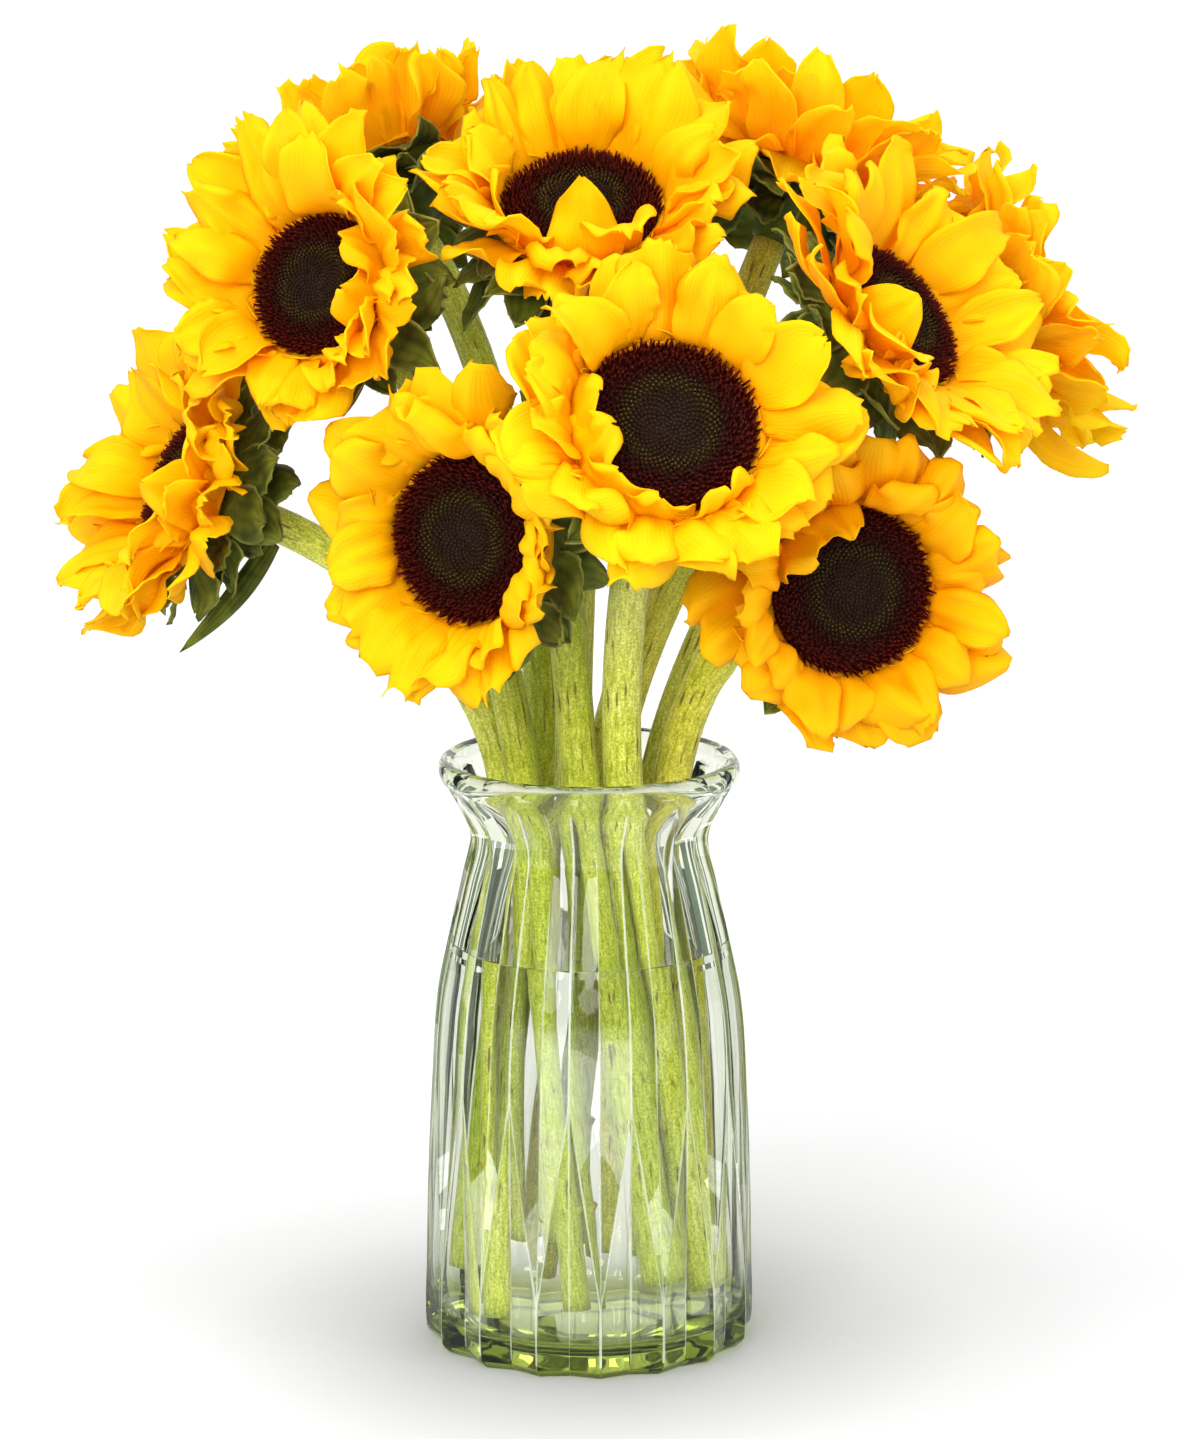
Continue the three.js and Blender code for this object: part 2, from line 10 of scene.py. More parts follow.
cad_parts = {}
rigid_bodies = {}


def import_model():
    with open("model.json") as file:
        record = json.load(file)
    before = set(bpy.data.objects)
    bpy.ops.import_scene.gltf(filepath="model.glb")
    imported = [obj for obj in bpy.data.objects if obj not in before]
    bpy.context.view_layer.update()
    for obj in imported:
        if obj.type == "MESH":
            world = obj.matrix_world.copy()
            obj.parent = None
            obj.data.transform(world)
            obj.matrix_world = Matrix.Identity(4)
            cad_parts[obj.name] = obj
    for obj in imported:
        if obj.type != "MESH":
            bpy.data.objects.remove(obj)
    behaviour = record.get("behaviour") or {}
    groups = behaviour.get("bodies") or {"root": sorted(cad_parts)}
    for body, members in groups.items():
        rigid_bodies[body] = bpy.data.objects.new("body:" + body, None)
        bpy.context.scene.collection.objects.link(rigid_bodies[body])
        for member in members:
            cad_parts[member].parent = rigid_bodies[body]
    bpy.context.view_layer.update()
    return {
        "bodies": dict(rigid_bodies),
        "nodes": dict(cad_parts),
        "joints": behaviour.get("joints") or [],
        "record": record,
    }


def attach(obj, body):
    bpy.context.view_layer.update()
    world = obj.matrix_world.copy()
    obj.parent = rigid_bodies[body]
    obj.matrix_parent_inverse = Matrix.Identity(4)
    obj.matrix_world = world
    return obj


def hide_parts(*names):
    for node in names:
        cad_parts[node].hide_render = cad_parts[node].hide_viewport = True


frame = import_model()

mm = 0.001  # lengths below are in millimetres, angles in degrees
scene = bpy.context.scene

# the bunch: where each head sits and faces, its disc's radius and its stalk's, where the stalk stands
# (direction and distance from the middle at the vase's neck, height of its foot), its petals' length
# and rise towards the right, top, left and bottom, and the form and look of petals that it takes;
# folded petals and long bracts are (direction, rise, length)
flowers = {
    "centre": dict(
        head=(26.4, -108, 350.2), face=(0.14, -0.82, 0.55), disc=30.5, stem=7.2, ring=29, neck=300, foot=24,
        lengths=(33, 34, 33, 28), rises=(14, 18, 30, 16), curl=16, width=24,
        folded=[(176, 92, 25), (-156, 96, 26), (-128, 84, 18), (-98, 78, 16), (-56, 74, 18)],
        bractSize=0.8, form="round",
    ),
    "lower_left": dict(
        head=(-41, -75, 306.6), face=(-0.52, -0.85, 0.08), disc=28.5, stem=7, ring=29, neck=270, foot=30,
        lengths=(26, 36, 30, 33), rises=(48, 20, 14, 14), curl=40, width=21, folded=[], form="spoon",
    ),
    "lower_right": dict(
        head=(90, -62, 286), face=(0.32, -0.94, 0.08), disc=28.5, stem=7, ring=29, neck=-5, foot=18,
        lengths=(31, 32, 29, 29), rises=(12, 20, 14, 10), curl=26, width=21,
        folded=[(112, 98, 27), (146, 90, 25)], form="spoon", look="petalAmber",
    ),
    "top": dict(
        head=(-2.3, -10, 411.6), face=(-0.02, -0.54, 0.84), disc=27, stem=6.4, ring=8, neck=150, foot=40,
        lengths=(38, 40, 32, 34), rises=(26, 28, 30, 26), curl=14, width=23,
        folded=[(-88, 106, 31), (-172, 74, 24)], longBracts=[(205, -46, 36)],
    ),
    "upper_left": dict(
        head=(-93, -35, 387.9), face=(-0.48, -0.8, 0.36), disc=24.5, stem=6.6, ring=29, neck=225, foot=22,
        lengths=(32, 40, 38, 30), rises=(40, 24, 22, 20), curl=14, width=20.5,
        folded=[(-24, 84, 25), (12, 80, 28), (40, 66, 31)],
    ),
    "right": dict(
        head=(106.7, -30, 375.7), face=(0.71, -0.39, 0.58), disc=26.5, stem=6.4, ring=8, neck=-30, foot=34,
        lengths=(44, 38, 40, 42), rises=(18, 24, 16, 24), curl=12, width=23,
        folded=[(-128, 78, 27)],
    ),
    "far_left": dict(
        head=(-142.4, 0, 310), face=(-0.86, -0.34, 0.39), disc=26, stem=6.6, ring=29, neck=180, foot=15,
        lengths=(36, 40, 39, 35), rises=(28, 26, 20, 20), curl=14, width=23,
        folded=[(-46, 58, 34), (34, 62, 36)], bractSize=0.8,
        leaf=[(-112, 2, 291), (-120, -6, 276), (-130, -10, 266), (-144.5, -12, 254)],
    ),
    "back_left": dict(
        head=(-74, 62, 410), face=(-0.5, 0.6, 0.62), disc=25, stem=6.3, ring=29, neck=130, foot=26, crook=64,
        lengths=(34, 38, 45, 40), rises=(20, 18, 12, 20), curl=12, width=20, folded=[], look="petalPaleBackPaintedLight",
    ),
    "back_top": dict(
        head=(76, 60, 415), face=(0.4, 0.3, 0.87), disc=26, stem=6.4, ring=29, neck=85, foot=20,
        lengths=(42, 37, 39, 42), rises=(30, 26, 30, 32), curl=10, width=24,
        folded=[(-92, -44, 30), (-64, -36, 28), (-122, -40, 26)], look="petalPaleBackPaintedLight",
    ),
    "back_right": dict(
        head=(145, 62, 363), face=(0.89, 0.25, 0.38), disc=26, stem=6.3, ring=29, neck=40, foot=32,
        lengths=(42, 42, 40, 31), rises=(36, 30, 30, 30), curl=10, width=23, folded=[], look="petalPaleBackPaintedLight",
    ),
}


# node building

def place(tree, kind, inputs=None, settings=None):
    # a shader node, its inputs linked or set, and its settings
    node = tree.nodes.new(kind if kind.startswith("NodeGroup") else f"ShaderNode{kind}")
    for name, value in (settings or {}).items():
        setattr(node, name, value)
    for key, value in (inputs or {}).items():
        if isinstance(value, bpy.types.NodeSocket):
            tree.links.new(value, node.inputs[key])
        else:
            node.inputs[key].default_value = value
    return node


def outcome(kind, inputs, output=0, settings=None):
    # what a node puts out; it stands in the tree of the first socket that it takes
    tree = next(value.id_data for value in inputs.values() if isinstance(value, bpy.types.NodeSocket))
    return place(tree, kind, inputs, settings).outputs[output]


def noise(vector, scale, detail=0, roughness=0.5):
    return outcome("TexNoise", {
        "Vector": vector, "Scale": scale, "Detail": detail, "Roughness": roughness}, "Fac")


def onAxis(vector, axis):
    return outcome("SeparateXYZ", {"Vector": vector}, axis)


def stretched(vector, scale):
    return outcome("Mapping", {"Vector": vector, "Scale": scale})


def away(vector):
    return outcome("VectorMath", {0: vector}, "Value", {"operation": "LENGTH"})


def calculated(operation, *values):
    return outcome("Math", dict(enumerate(values)), 0, {"operation": operation})


def ranged(value, low, high, first=0, last=1, curve="LINEAR"):
    # the value's way from low to high becomes the way from first to last
    inputs = {"Value": value, "From Min": low, "From Max": high, "To Min": first, "To Max": last}
    return outcome("MapRange", inputs, "Result", {"interpolation_type": curve})


def colourRamp(factor, stops):
    node = place(factor.id_data, "ValToRGB", {"Fac": factor})
    elements = node.color_ramp.elements
    while len(elements) < len(stops):
        elements.new(1)
    for element, (position, colour) in zip(elements, stops):
        element.position = position
        element.color = (*colour, 1)
    return node.outputs["Color"]


def greyRamp(factor, *stops):
    return colourRamp(factor, [(position, (value, value, value)) for position, value in stops])


def shaded(colour, value):
    return outcome("VectorMath", {0: colour, "Scale": value}, "Vector", {"operation": "SCALE"})


def blended(factor, first, second, kind="MIX"):
    # the Mix node takes its colours at 6 and 7, and puts them out at 2
    settings = {"data_type": "RGBA", "blend_type": kind}
    return outcome("Mix", {0: factor, 6: first, 7: second}, 2, settings)


def bumped(height, distance, strength=1):
    return outcome("Bump", {"Height": height, "Distance": distance, "Strength": strength}, "Normal")


def principled(base, roughness, more):
    return outcome("BsdfPrincipled", {"Base Color": base, "Roughness": roughness, **more})


def mixShader(factor, first, second):
    return outcome("MixShader", {0: factor, 1: first, 2: second})


def newMaterial(name):
    # a material with what its pattern follows: the object's own space, and the piece's UV map
    material = bpy.data.materials.new(name)
    material.use_nodes = True
    material.node_tree.nodes.clear()
    spots = place(material.node_tree, "TexCoord").outputs
    return material, spots["Object"], spots["UV"]


def finished(material, shader, volume=None):
    tree = material.node_tree
    output = place(tree, "OutputMaterial", {"Surface": shader})
    if volume:
        tree.links.new(volume, output.inputs["Volume"])
    return material


# groups that several finishes share
def newGroup(name, inputs, output):
    # an input with a value is a number, and one without is a vector
    group = bpy.data.node_groups.new(name, "ShaderNodeTree")
    for label, value in inputs.items():
        kind = "NodeSocketFloat" if value else "NodeSocketVector"
        socket = group.interface.new_socket(label, in_out="INPUT", socket_type=kind)
        if value:
            socket.default_value = value
    group.interface.new_socket(output, in_out="OUTPUT", socket_type="NodeSocketFloat")
    return group, place(group, "NodeGroupInput").outputs, place(group, "NodeGroupOutput").inputs[output]


def makeVeinGroup():
    # parallel veins that run from a blade's root to its tip, a little wavy; u is across, v along
    group, entry, leave = newGroup("bladeVeins", dict(UV=None, Count=12, Wander=0.03), "Height")
    waviness = 6
    along = calculated("MULTIPLY", onAxis(entry["UV"], "Y"), waviness)
    shift = calculated("MULTIPLY", calculated("SINE", along), entry["Wander"])
    across = calculated("ADD", onAxis(entry["UV"], "X"), shift)
    turns = calculated("MULTIPLY", across, entry["Count"])
    wave = calculated("SINE", calculated("MULTIPLY", turns, 2 * pi))
    group.links.new(ranged(wave, -1, 1), leave)
    return group


def makeMottleGroup():
    # soft patches from low to high, for colour that isn't quite even
    inputs = dict(Vector=None, Scale=60, Low=0.8, High=1.1)
    group, entry, leave = newGroup("softMottle", inputs, "Value")
    patches = noise(entry["Vector"], entry["Scale"], 1)
    group.links.new(ranged(patches, 0.3, 0.7, entry["Low"], entry["High"]), leave)
    return group


veinGroup = makeVeinGroup()
mottleGroup = makeMottleGroup()


def veins(uv, count, wander):
    return outcome("Group", {"UV": uv, "Count": count, "Wander": wander}, 0, {"node_tree": veinGroup})


def mottle(vector, scale, low, high):
    inputs = {"Vector": vector, "Scale": scale, "Low": low, "High": high}
    return outcome("Group", inputs, 0, {"node_tree": mottleGroup})


# mesh building

def grid(mesh, columns, rows):
    # a flat grid to bend, each vertex with its place across, from -1 to 1, and along, from 0 to 1
    made = bmesh.ops.create_grid(mesh, x_segments=columns, y_segments=rows, size=1)["verts"]
    return [(vert, vert.co.x, (vert.co.y + 1) / 2) for vert in made]


def polar(radius, turn, height=0):
    return Vector((radius * cos(turn), radius * sin(turn), height))


def turned(mesh, profile, sides):
    # a profile of (radius, height) turned about the z axis, each vertex with its row
    made = []
    for vert, across, along in grid(mesh, sides, len(profile) - 1):
        turn, row = pi * (across + 1), round(along * (len(profile) - 1))
        radius, height = profile[row]
        vert.co = polar(radius, turn, height)
        made.append((vert, turn, row))
    return made


def setUv(vert, layer, u, v):
    for loop in vert.link_loops:
        loop[layer].uv = (u, v)


def merge(mesh, verts=None, reach=0.001):
    bmesh.ops.remove_doubles(mesh, verts=verts or mesh.verts, dist=reach)


def faceOutwards(mesh):
    bmesh.ops.recalc_face_normals(mesh, faces=mesh.faces)


def fillHoles(mesh):
    bmesh.ops.holes_fill(mesh, edges=[edge for edge in mesh.edges if edge.is_boundary])


def newMesh():
    mesh = bmesh.new()
    return mesh, mesh.loops.layers.uv.new("UVMap")


def newObject(name, mesh, material):
    data = bpy.data.meshes.new(name)
    mesh.to_mesh(data)
    mesh.free()
    data.materials.append(material)
    made = bpy.data.objects.new(name, data)
    scene.collection.objects.link(made)
    return made


def newPiece(name, mesh, material, node, smooth=True):
    bmesh.ops.scale(mesh, vec=(mm, mm, mm), verts=mesh.verts)
    for face in mesh.faces:
        face.smooth = smooth
    piece = newObject(name, mesh, material)
    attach(piece, "root")
    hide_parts(node)
    return piece


def nodeTree(name):
    # a CAD node as a tree in millimetres
    data = frame["nodes"][name].data
    corners = [vert.co / mm for vert in data.vertices]
    return BVHTree.FromPolygons(corners, [tuple(face.vertices) for face in data.polygons])


def bezier(pulls, t):
    shares = ((1 - t) ** 3, 3 * t * (1 - t) ** 2, 3 * t * t * (1 - t), t ** 3)
    return sum((pull * share for pull, share in zip(pulls, shares)), Vector())


def turnedBy(degrees, axis):
    return Matrix.Rotation(radians(degrees), 4, axis)


def pointing(root, way):
    # a stand at the root whose z axis points the given way
    return Matrix.Translation(root) @ way.to_track_quat("Z", "Y").to_matrix().to_4x4()


def headMatrix(flower):
    face = Vector(flower["face"]).normalized()
    right = (Vector((1, 0, 0)) - face * face.x).normalized()
    top = face.cross(right)
    turn = Matrix((right, top, face)).transposed().to_4x4()
    return Matrix.Translation(Vector(flower["head"])) @ turn


def addSpike(mesh, layer, share, stand, sides, wide, narrow, length, foot=0):
    # a tapering spike; its UV keeps its share of the disc's radius, and how far up it each corner is
    made = bmesh.ops.create_cone(
        mesh, cap_ends=narrow > 0, segments=sides, radius1=wide, radius2=narrow, depth=length,
        matrix=stand @ Matrix.Translation((0, 0, length / 2)))["verts"]
    axis = (stand.to_3x3() @ Vector((0, 0, 1))).normalized()
    for vert in made:
        up = (vert.co - stand.translation).dot(axis) / length
        setUv(vert, layer, share, foot + up if foot > 1 else foot + (1 - foot) * up)


def addSpikes(mesh, spikes, batch=60):
    # a few at a time in a mesh of their own, because each one takes longer to add to a full mesh
    for start in range(0, len(spikes), batch):
        part, layer = newMesh()
        for spike in spikes[start:start + batch]:
            addSpike(part, layer, *spike)
        data = bpy.data.meshes.new("spikes")
        part.to_mesh(data)
        part.free()
        mesh.from_mesh(data)
        bpy.data.meshes.remove(data)


# petals

# painted shade: each look turns deeper orange towards the petal's root, for the light that the crowded petals
# bounce and let through at the disc
petalLooks = dict(  # how much light shines through, and the colours from the root to the tip
    petalGold=(0.27, [
        (0, (0.8, 0.24, 0)), (0.1, (0.97, 0.43, 0)), (0.3, (1, 0.55, 0)), (0.8, (1, 0.63, 0.003))]),
    petalAmber=(0.27, [
        (0, (0.77, 0.21, 0)), (0.12, (0.95, 0.38, 0)), (0.45, (1, 0.49, 0)), (0.9, (1, 0.57, 0.0015))]),
    # partly painted light: paler than the others, partly for the paler petal backs that the back heads show,
    # partly lifted for heads that turn away from the lamps
    petalPaleBackPaintedLight=(0.45, [
        (0, (0.84, 0.29, 0)), (0.1, (1, 0.51, 0.001)), (0.3, (1, 0.65, 0.004)), (0.8, (1, 0.73, 0.009))]),
)
petalFinish = dict(shadow=(1, 0.43, 0, 1), veins=15, veinDepth=0.07 * mm, roughness=0.62)
petals = dict(
    backCount=19, frontCount=17, innerCount=6, slivers=30, rows=16, columns=14,
    thickness=0.45 * mm, rootInset=1.1, foldSize=3, leastRise=-60, mostRise=118,
    loose=dict(domes=(0, 90), cups=(-0.8, 0.6), hems=(-2.6, 2.4), fullness=(1.45, 2.8), tear=1.9),
    round=dict(domes=(20, 110), cups=(-0.9, 0.4), hems=(-3, 1.6), fullness=(2.2, 4), tear=0.9),
    spoon=dict(domes=(40, 120), cups=(-0.9, 0.1), hems=(-3, 0.6), fullness=(2.6, 4.2), tear=0.5),
)

# how wide a blade is at its foot, where along it is widest, and how bluntly its sides close at the tip;
# a folded petal is broad at the foot, because it stands on its edge and leans over the disc
outlines = dict(petal=(0.46, 0.45, 0.62), folded=(0.8, 0.24, 0.7), bract=(0.78, 0.34, 0.95))
# a blade without any bend, fold or tear, for the ones that name only some of theirs
plainBlade = dict(
    cup=0, roll=0, bow=0, tip=0, twist=0, sweep=0, ragged=0, pleat=0, pleats=1,
    hem=0, frill=0, frills=1, bite=0, teeth=1, waves=[(0, 1, 0)] * 2,
)
# ways to bend a blade that would cross a neighbour: added rise, added curl, share of its length
bends = [
    (0, 0, 1), (10, 0, 1), (-10, 0, 1), (18, 8, 1), (-16, -10, 1), (28, 10, 1), (-24, -18, 1),
    (38, 12, 0.96), (8, 20, 0.85), (-14, 6, 0.85), (50, 14, 0.92), (-30, -24, 0.9), (62, 14, 0.88),
    (20, 20, 0.75), (-20, 0, 0.75), (74, 10, 0.85), (40, 20, 0.7), (-34, -10, 0.7), (86, 8, 0.8),
    (60, 10, 0.62),
]
# the coarse copy that is tested for crossings, and how many are too many
crossing = dict(columns=4, rows=8, clearFrom=0.16, tooMany=14)


def makePetalMaterial(name, glow, stops):
    material, space, uv = newMaterial(name)
    base = colourRamp(onAxis(uv, "Y"), stops)
    base = blended(mottle(space, 30, 0, 0.35), base, petalFinish["shadow"])
    base = shaded(base, mottle(space, 90, 0.95, 1.04))
    lines = veins(uv, petalFinish["veins"], 0.03)
    base = shaded(base, greyRamp(lines, (0, 0.95), (0.5, 1)))
    normal = bumped(lines, petalFinish["veinDepth"])
    skin = principled(base, petalFinish["roughness"], {"Specular IOR Level": 0.12, "Normal": normal})
    through = outcome("BsdfTranslucent", {"Color": base, "Normal": normal})
    outside = mixShader(glow, skin, through)
    # the inner side of a petal's two faces lets all light on, so that none is caught between them
    isInside = place(material.node_tree, "NewGeometry").outputs["Backfacing"]
    return finished(material, mixShader(isInside, outside, through))


def outlineAt(kind, along, fullness):
    rootWidth, widest, closing = outlines[kind]
    root = rootWidth + (1 - rootWidth) * sin(pi / 2 * min(1, along / widest))
    towardsTip = max(0, (along - widest) / (1 - widest))
    return root * (1 - towardsTip ** fullness) ** closing


def around(values, direction):
    # a value for any direction, from the ones to the right, top, left and bottom
    turn = (direction % 360) / 90
    k = int(turn)
    return values[k % 4] + (values[(k + 1) % 4] - values[k % 4]) * (turn - k)


def bladeSpine(blade, rows):
    # how far out and up the blade's middle line has come at each row, and its slope there
    spine = []
    reach = height = 0
    step = blade["length"] / rows
    tipFrom, tipSquare = 0.7, 0.09  # where the tip starts to bend, and its length squared
    for row in range(rows + 1):
        along = row / rows
        slope = radians(
            blade["rise"] + blade["curl"] * along + blade["bow"] * sin(2 * pi * along)
            + blade["tip"] * max(0, along - tipFrom) ** 2 / tipSquare
        )
        spine.append((reach, height, slope))
        reach += cos(slope) * step
        height += sin(slope) * step
    return spine


def bladePoint(blade, spine, across, along):
    reach, height, slope = spine[round(along * (len(spine) - 1))]
    half = blade["width"] / 2 * outlineAt(blade["outline"], min(along, blade["blunt"]), blade["fullness"])
    half *= 1 + blade["ragged"] * sin(9 * along + blade["angle"])
    side = across * half
    setIn = min(1, along / 0.35)  # folds start beyond the foot
    roll = radians(blade["roll"] + blade["twist"] * along)
    size, rounds, start = blade["waves"][0 if across < 0 else 1]
    wave = size * abs(across) ** 1.7 * sin(2 * pi * (rounds * along + start)) * setIn
    wave += blade["frill"] * across ** 4 * sin(2 * pi * (blade["frills"] * along + start)) * setIn
    pleat = blade["pleat"] * cos(pi * blade["pleats"] * across + start) * sin(pi * along)
    lift = blade["cup"] * half * across * across * setIn + blade["hem"] * across ** 6 * setIn
    lift += side * sin(roll) + wave + pleat
    bite = blade["bite"] * along ** 6 * (1 + cos(pi * blade["teeth"] * across + 6 * start))
    radial = blade["root"] + reach - bite * cos(slope) - lift * sin(slope)
    out = blade["height"] + height - bite * sin(slope) + lift * cos(slope)
    angle = radians(blade["angle"] + blade["sweep"] * along * along)
    sideways = side * cos(roll)
    return Vector((
        radial * cos(angle) - sideways * sin(angle),
        radial * sin(angle) + sideways * cos(angle),
        out,
    ))


def addBlade(mesh, layer, blade, columns, rows):
    # the blade's own two directions are kept as its UV map
    spine = bladeSpine(blade, rows)
    for vert, across, along in grid(mesh, columns, rows):
        setUv(vert, layer, (across + 1) / 2, along)
        vert.co = blade["matrix"] @ bladePoint(blade, spine, across, along)


def coarseTree(blade):
    # a coarse copy of the part of the blade that has to stay clear, to test for crossings
    mesh, layer = newMesh()
    addBlade(mesh, layer, blade, crossing["columns"], crossing["rows"])
    near = [vert for vert in mesh.verts
            if any(loop[layer].uv.y < crossing["clearFrom"] for loop in vert.link_loops)]
    bmesh.ops.delete(mesh, geom=near, context="VERTS")
    tree = BVHTree.FromBMesh(mesh)
    mesh.free()
    return tree


def bentClear(blade, obstacles, lowest, highest):
    fewest, best = crossing["tooMany"], None
    for rise, curl, share in bends:
        bent = dict(
            blade, rise=blade["rise"] + rise, curl=blade["curl"] + curl, length=blade["length"] * share)
        if not lowest <= bent["rise"] <= highest:
            continue
        probe = coarseTree(bent)
        crossings = sum(len(probe.overlap(other)) for other in obstacles)
        if crossings == 0:
            return bent
        if crossings < fewest:
            fewest, best = crossings, bent
    return best


def addBlades(mesh, layer, blades, obstacles, form):
    # each blade bent until it is clear of what has grown, and left out where it can't be
    grown = [bentClear(blade, obstacles, form["leastRise"], form["mostRise"]) for blade in blades]
    kept = [blade for blade in grown if blade]
    for blade in kept:
        addBlade(mesh, layer, blade, form["columns"], form["rows"])
    return kept


def petalsOf(flower, form, chance):
    vary = chance.uniform
    first = 360 * chance.random()
    grown = []
    for count, start, height, lift, scale in (
        (petals["backCount"], first, -4.4, -6, 1),
        (petals["frontCount"], first + 180 / petals["frontCount"], -1.6, 12, 0.94),
    ):
        for k in range(count):
            angle = start + (k + vary(-0.22, 0.22)) * 360 / count
            dome = vary(*form["domes"])
            rise = around(flower["rises"], angle) + lift + flower["curl"] / 2 + dome / 2
            grown.append(dict(
                angle=angle, root=flower["disc"] + petals["rootInset"], height=height,
                length=around(flower["lengths"], angle) * scale * vary(0.92, 1.2),
                width=flower["width"] * vary(0.8, 1.2), rise=rise + vary(-8, 8), curl=-dome,
                bow=vary(-16, 16), tip=vary(-80, 70), cup=vary(*form["cups"]), roll=7,
                twist=vary(-22, 22), sweep=vary(-12, 12),
            ))
    for _ in range(petals["innerCount"]):
        angle = vary(0, 360)
        grown.append(dict(
            angle=angle, root=flower["disc"] + 2.2, height=-0.8, length=vary(13, 20), width=vary(9, 14),
            rise=around(flower["rises"], angle) + vary(20, 46), curl=vary(-50, 10), bow=0,
            tip=vary(-60, 60), cup=vary(-0.5, 0.6), roll=7, twist=vary(-40, 40), sweep=vary(-20, 20),
        ))
    for angle, rise, length in flower["folded"]:
        grown.append(dict(
            angle=angle, root=flower["disc"] + 2.6, height=-1.2, length=length,
            width=flower["width"] * 1.15, rise=rise, curl=26, bow=8, tip=20, cup=0.25, roll=0,
            twist=vary(-14, 14), sweep=0, isFolded=True,
        ))
    for blade in grown:
        blade.update(
            matrix=headMatrix(flower), outline="petal", ragged=0.05, pleat=vary(0.3, 1.1),
            pleats=vary(1.6, 3.2), fullness=vary(*form["fullness"]), blunt=vary(0.95, 0.995),
            bite=form["tear"] * chance.random() ** 2, teeth=vary(0.8, 2.6), hem=vary(*form["hems"]),
            frill=vary(0, 0.9), frills=vary(3, 6),
            waves=[(petals["foldSize"] * vary(0.3, 1.3), vary(0.8, 2), chance.random())
                   for _ in range(2)],
        )
        if "isFolded" in blade:
            blade.update(outline="folded", fullness=vary(1.3, 1.9), blunt=0.99, hem=1.2, frill=0.2)
    return grown


def addRootRing(mesh, layer, flower, chance):
    # the yellow ring that the petals grow from, with the thin strips that stand between their roots
    vary = chance.uniform
    disc, head = flower["disc"], headMatrix(flower)
    profile = [(0.2, -4.5), (0.3, -0.9), (1.4, -0.3), (2.9, -0.9), (3.6, -3.4)]
    made = turned(mesh, [(disc + beyond, height) for beyond, height in profile], 48)
    for vert, turn, _ in made:
        setUv(vert, layer, turn * 2, 0.12)
        vert.co = head @ vert.co
    merge(mesh, [vert for vert, _, _ in made])
    for _ in range(petals["slivers"]):
        sliver = dict(
            plainBlade, matrix=head, outline="petal", fullness=1.4, blunt=0.99, cup=0.4, height=-0.6,
            angle=vary(0, 360), root=disc + vary(0.4, 1.8), length=vary(4, 8), width=vary(1.4, 3.4),
            rise=vary(20, 70), curl=vary(-40, 20), twist=vary(-50, 50), sweep=vary(-20, 20),
        )
        addBlade(mesh, layer, sliver, 2, 5)


fixedTrees = [nodeTree(f"{kind}_{name}") for name in flowers for kind in ("stem", "disc")]
petalMaterials = {name: makePetalMaterial(name, *look) for name, look in petalLooks.items()}
petalTrees = []
for number, (name, flower) in enumerate(flowers.items()):
    chance = random.Random(40 + number)
    mesh, layer = newMesh()
    grown = petalsOf(flower, petals[flower.get("form", "loose")], chance)
    kept = addBlades(mesh, layer, grown, fixedTrees + petalTrees, petals)
    petalTrees.append(BVHTree.FromBMesh(mesh))
    addRootRing(mesh, layer, flower, chance)
    material = petalMaterials[flower.get("look", "petalGold")]
    piece = newPiece(f"petals_{name}", mesh, material, f"rays_{name}")
    wall = piece.modifiers.new("thickness", "SOLIDIFY")
    wall.thickness = petals["thickness"]
    wall.offset = 0
    print(f"petals_{name}", len(kept))
print("petals grown")


# discs of florets

florets = dict(
    count=1150, radius=30, sides=36, rings=12, budTo=0.42, openFrom=0.6, anther=3.6,
    goldenAngle=137.508,
    back=5.5,  # how far the disc goes down behind its face
    turn=47,  # each head's disc is turned on from the last
    # sides, and radius at the foot and at the tip
    bud=(5, 0.82, 0.28), opening=(5, 0.72, 0.3), open=(5, 0.62, 0.34), fork=(3, 0.24, 0),
    forkLength=1.2, sunk=0.4,
    profile=[(0, 1.4), (0.16, 1.6), (0.32, 2.5), (0.5, 3.6), (0.6, 3.9), (0.74, 3.6), (0.86, 2.7),
             (0.95, 1.2), (1, -0.4)],
)


def faceHeight(share):
    # the height of the disc's face at a share of its radius
    for (low, start), (high, end) in zip(florets["profile"], florets["profile"][1:]):
        if share <= high:
            return start + (end - start) * (share - low) / (high - low)
    return florets["profile"][-1][1]


def makeFloretMaterial():
    material, space, uv = newMaterial("floretMaroon")
    share = onAxis(uv, "X")
    low = colourRamp(share, [
        (0, (0.014, 0.007, 0.005)), (0.36, (0.013, 0.006, 0.003)), (0.47, (0.018, 0.01, 0.002)),
        (0.57, (0.016, 0.006, 0.002)), (0.66, (0.016, 0.0015, 0.001)), (1, (0.034, 0.002, 0.001))])
    tips = colourRamp(share, [
        (0, (0.037, 0.018, 0.012)), (0.4, (0.032, 0.014, 0.005)), (0.49, (0.08, 0.048, 0.009)),
        (0.56, (0.055, 0.025, 0.005)), (0.64, (0.054, 0.006, 0.003)), (1, (0.12, 0.009, 0.005))])
    base = blended(greyRamp(onAxis(uv, "Y"), (0.45, 0), (1, 1)), low, tips)
    base = shaded(base, mottle(space, 500, 0.65, 1.35))
    return finished(material, principled(base, 0.62, {
        "Specular IOR Level": 0.16, "Normal": bumped(noise(space, 2600), 0.06 * mm)}))


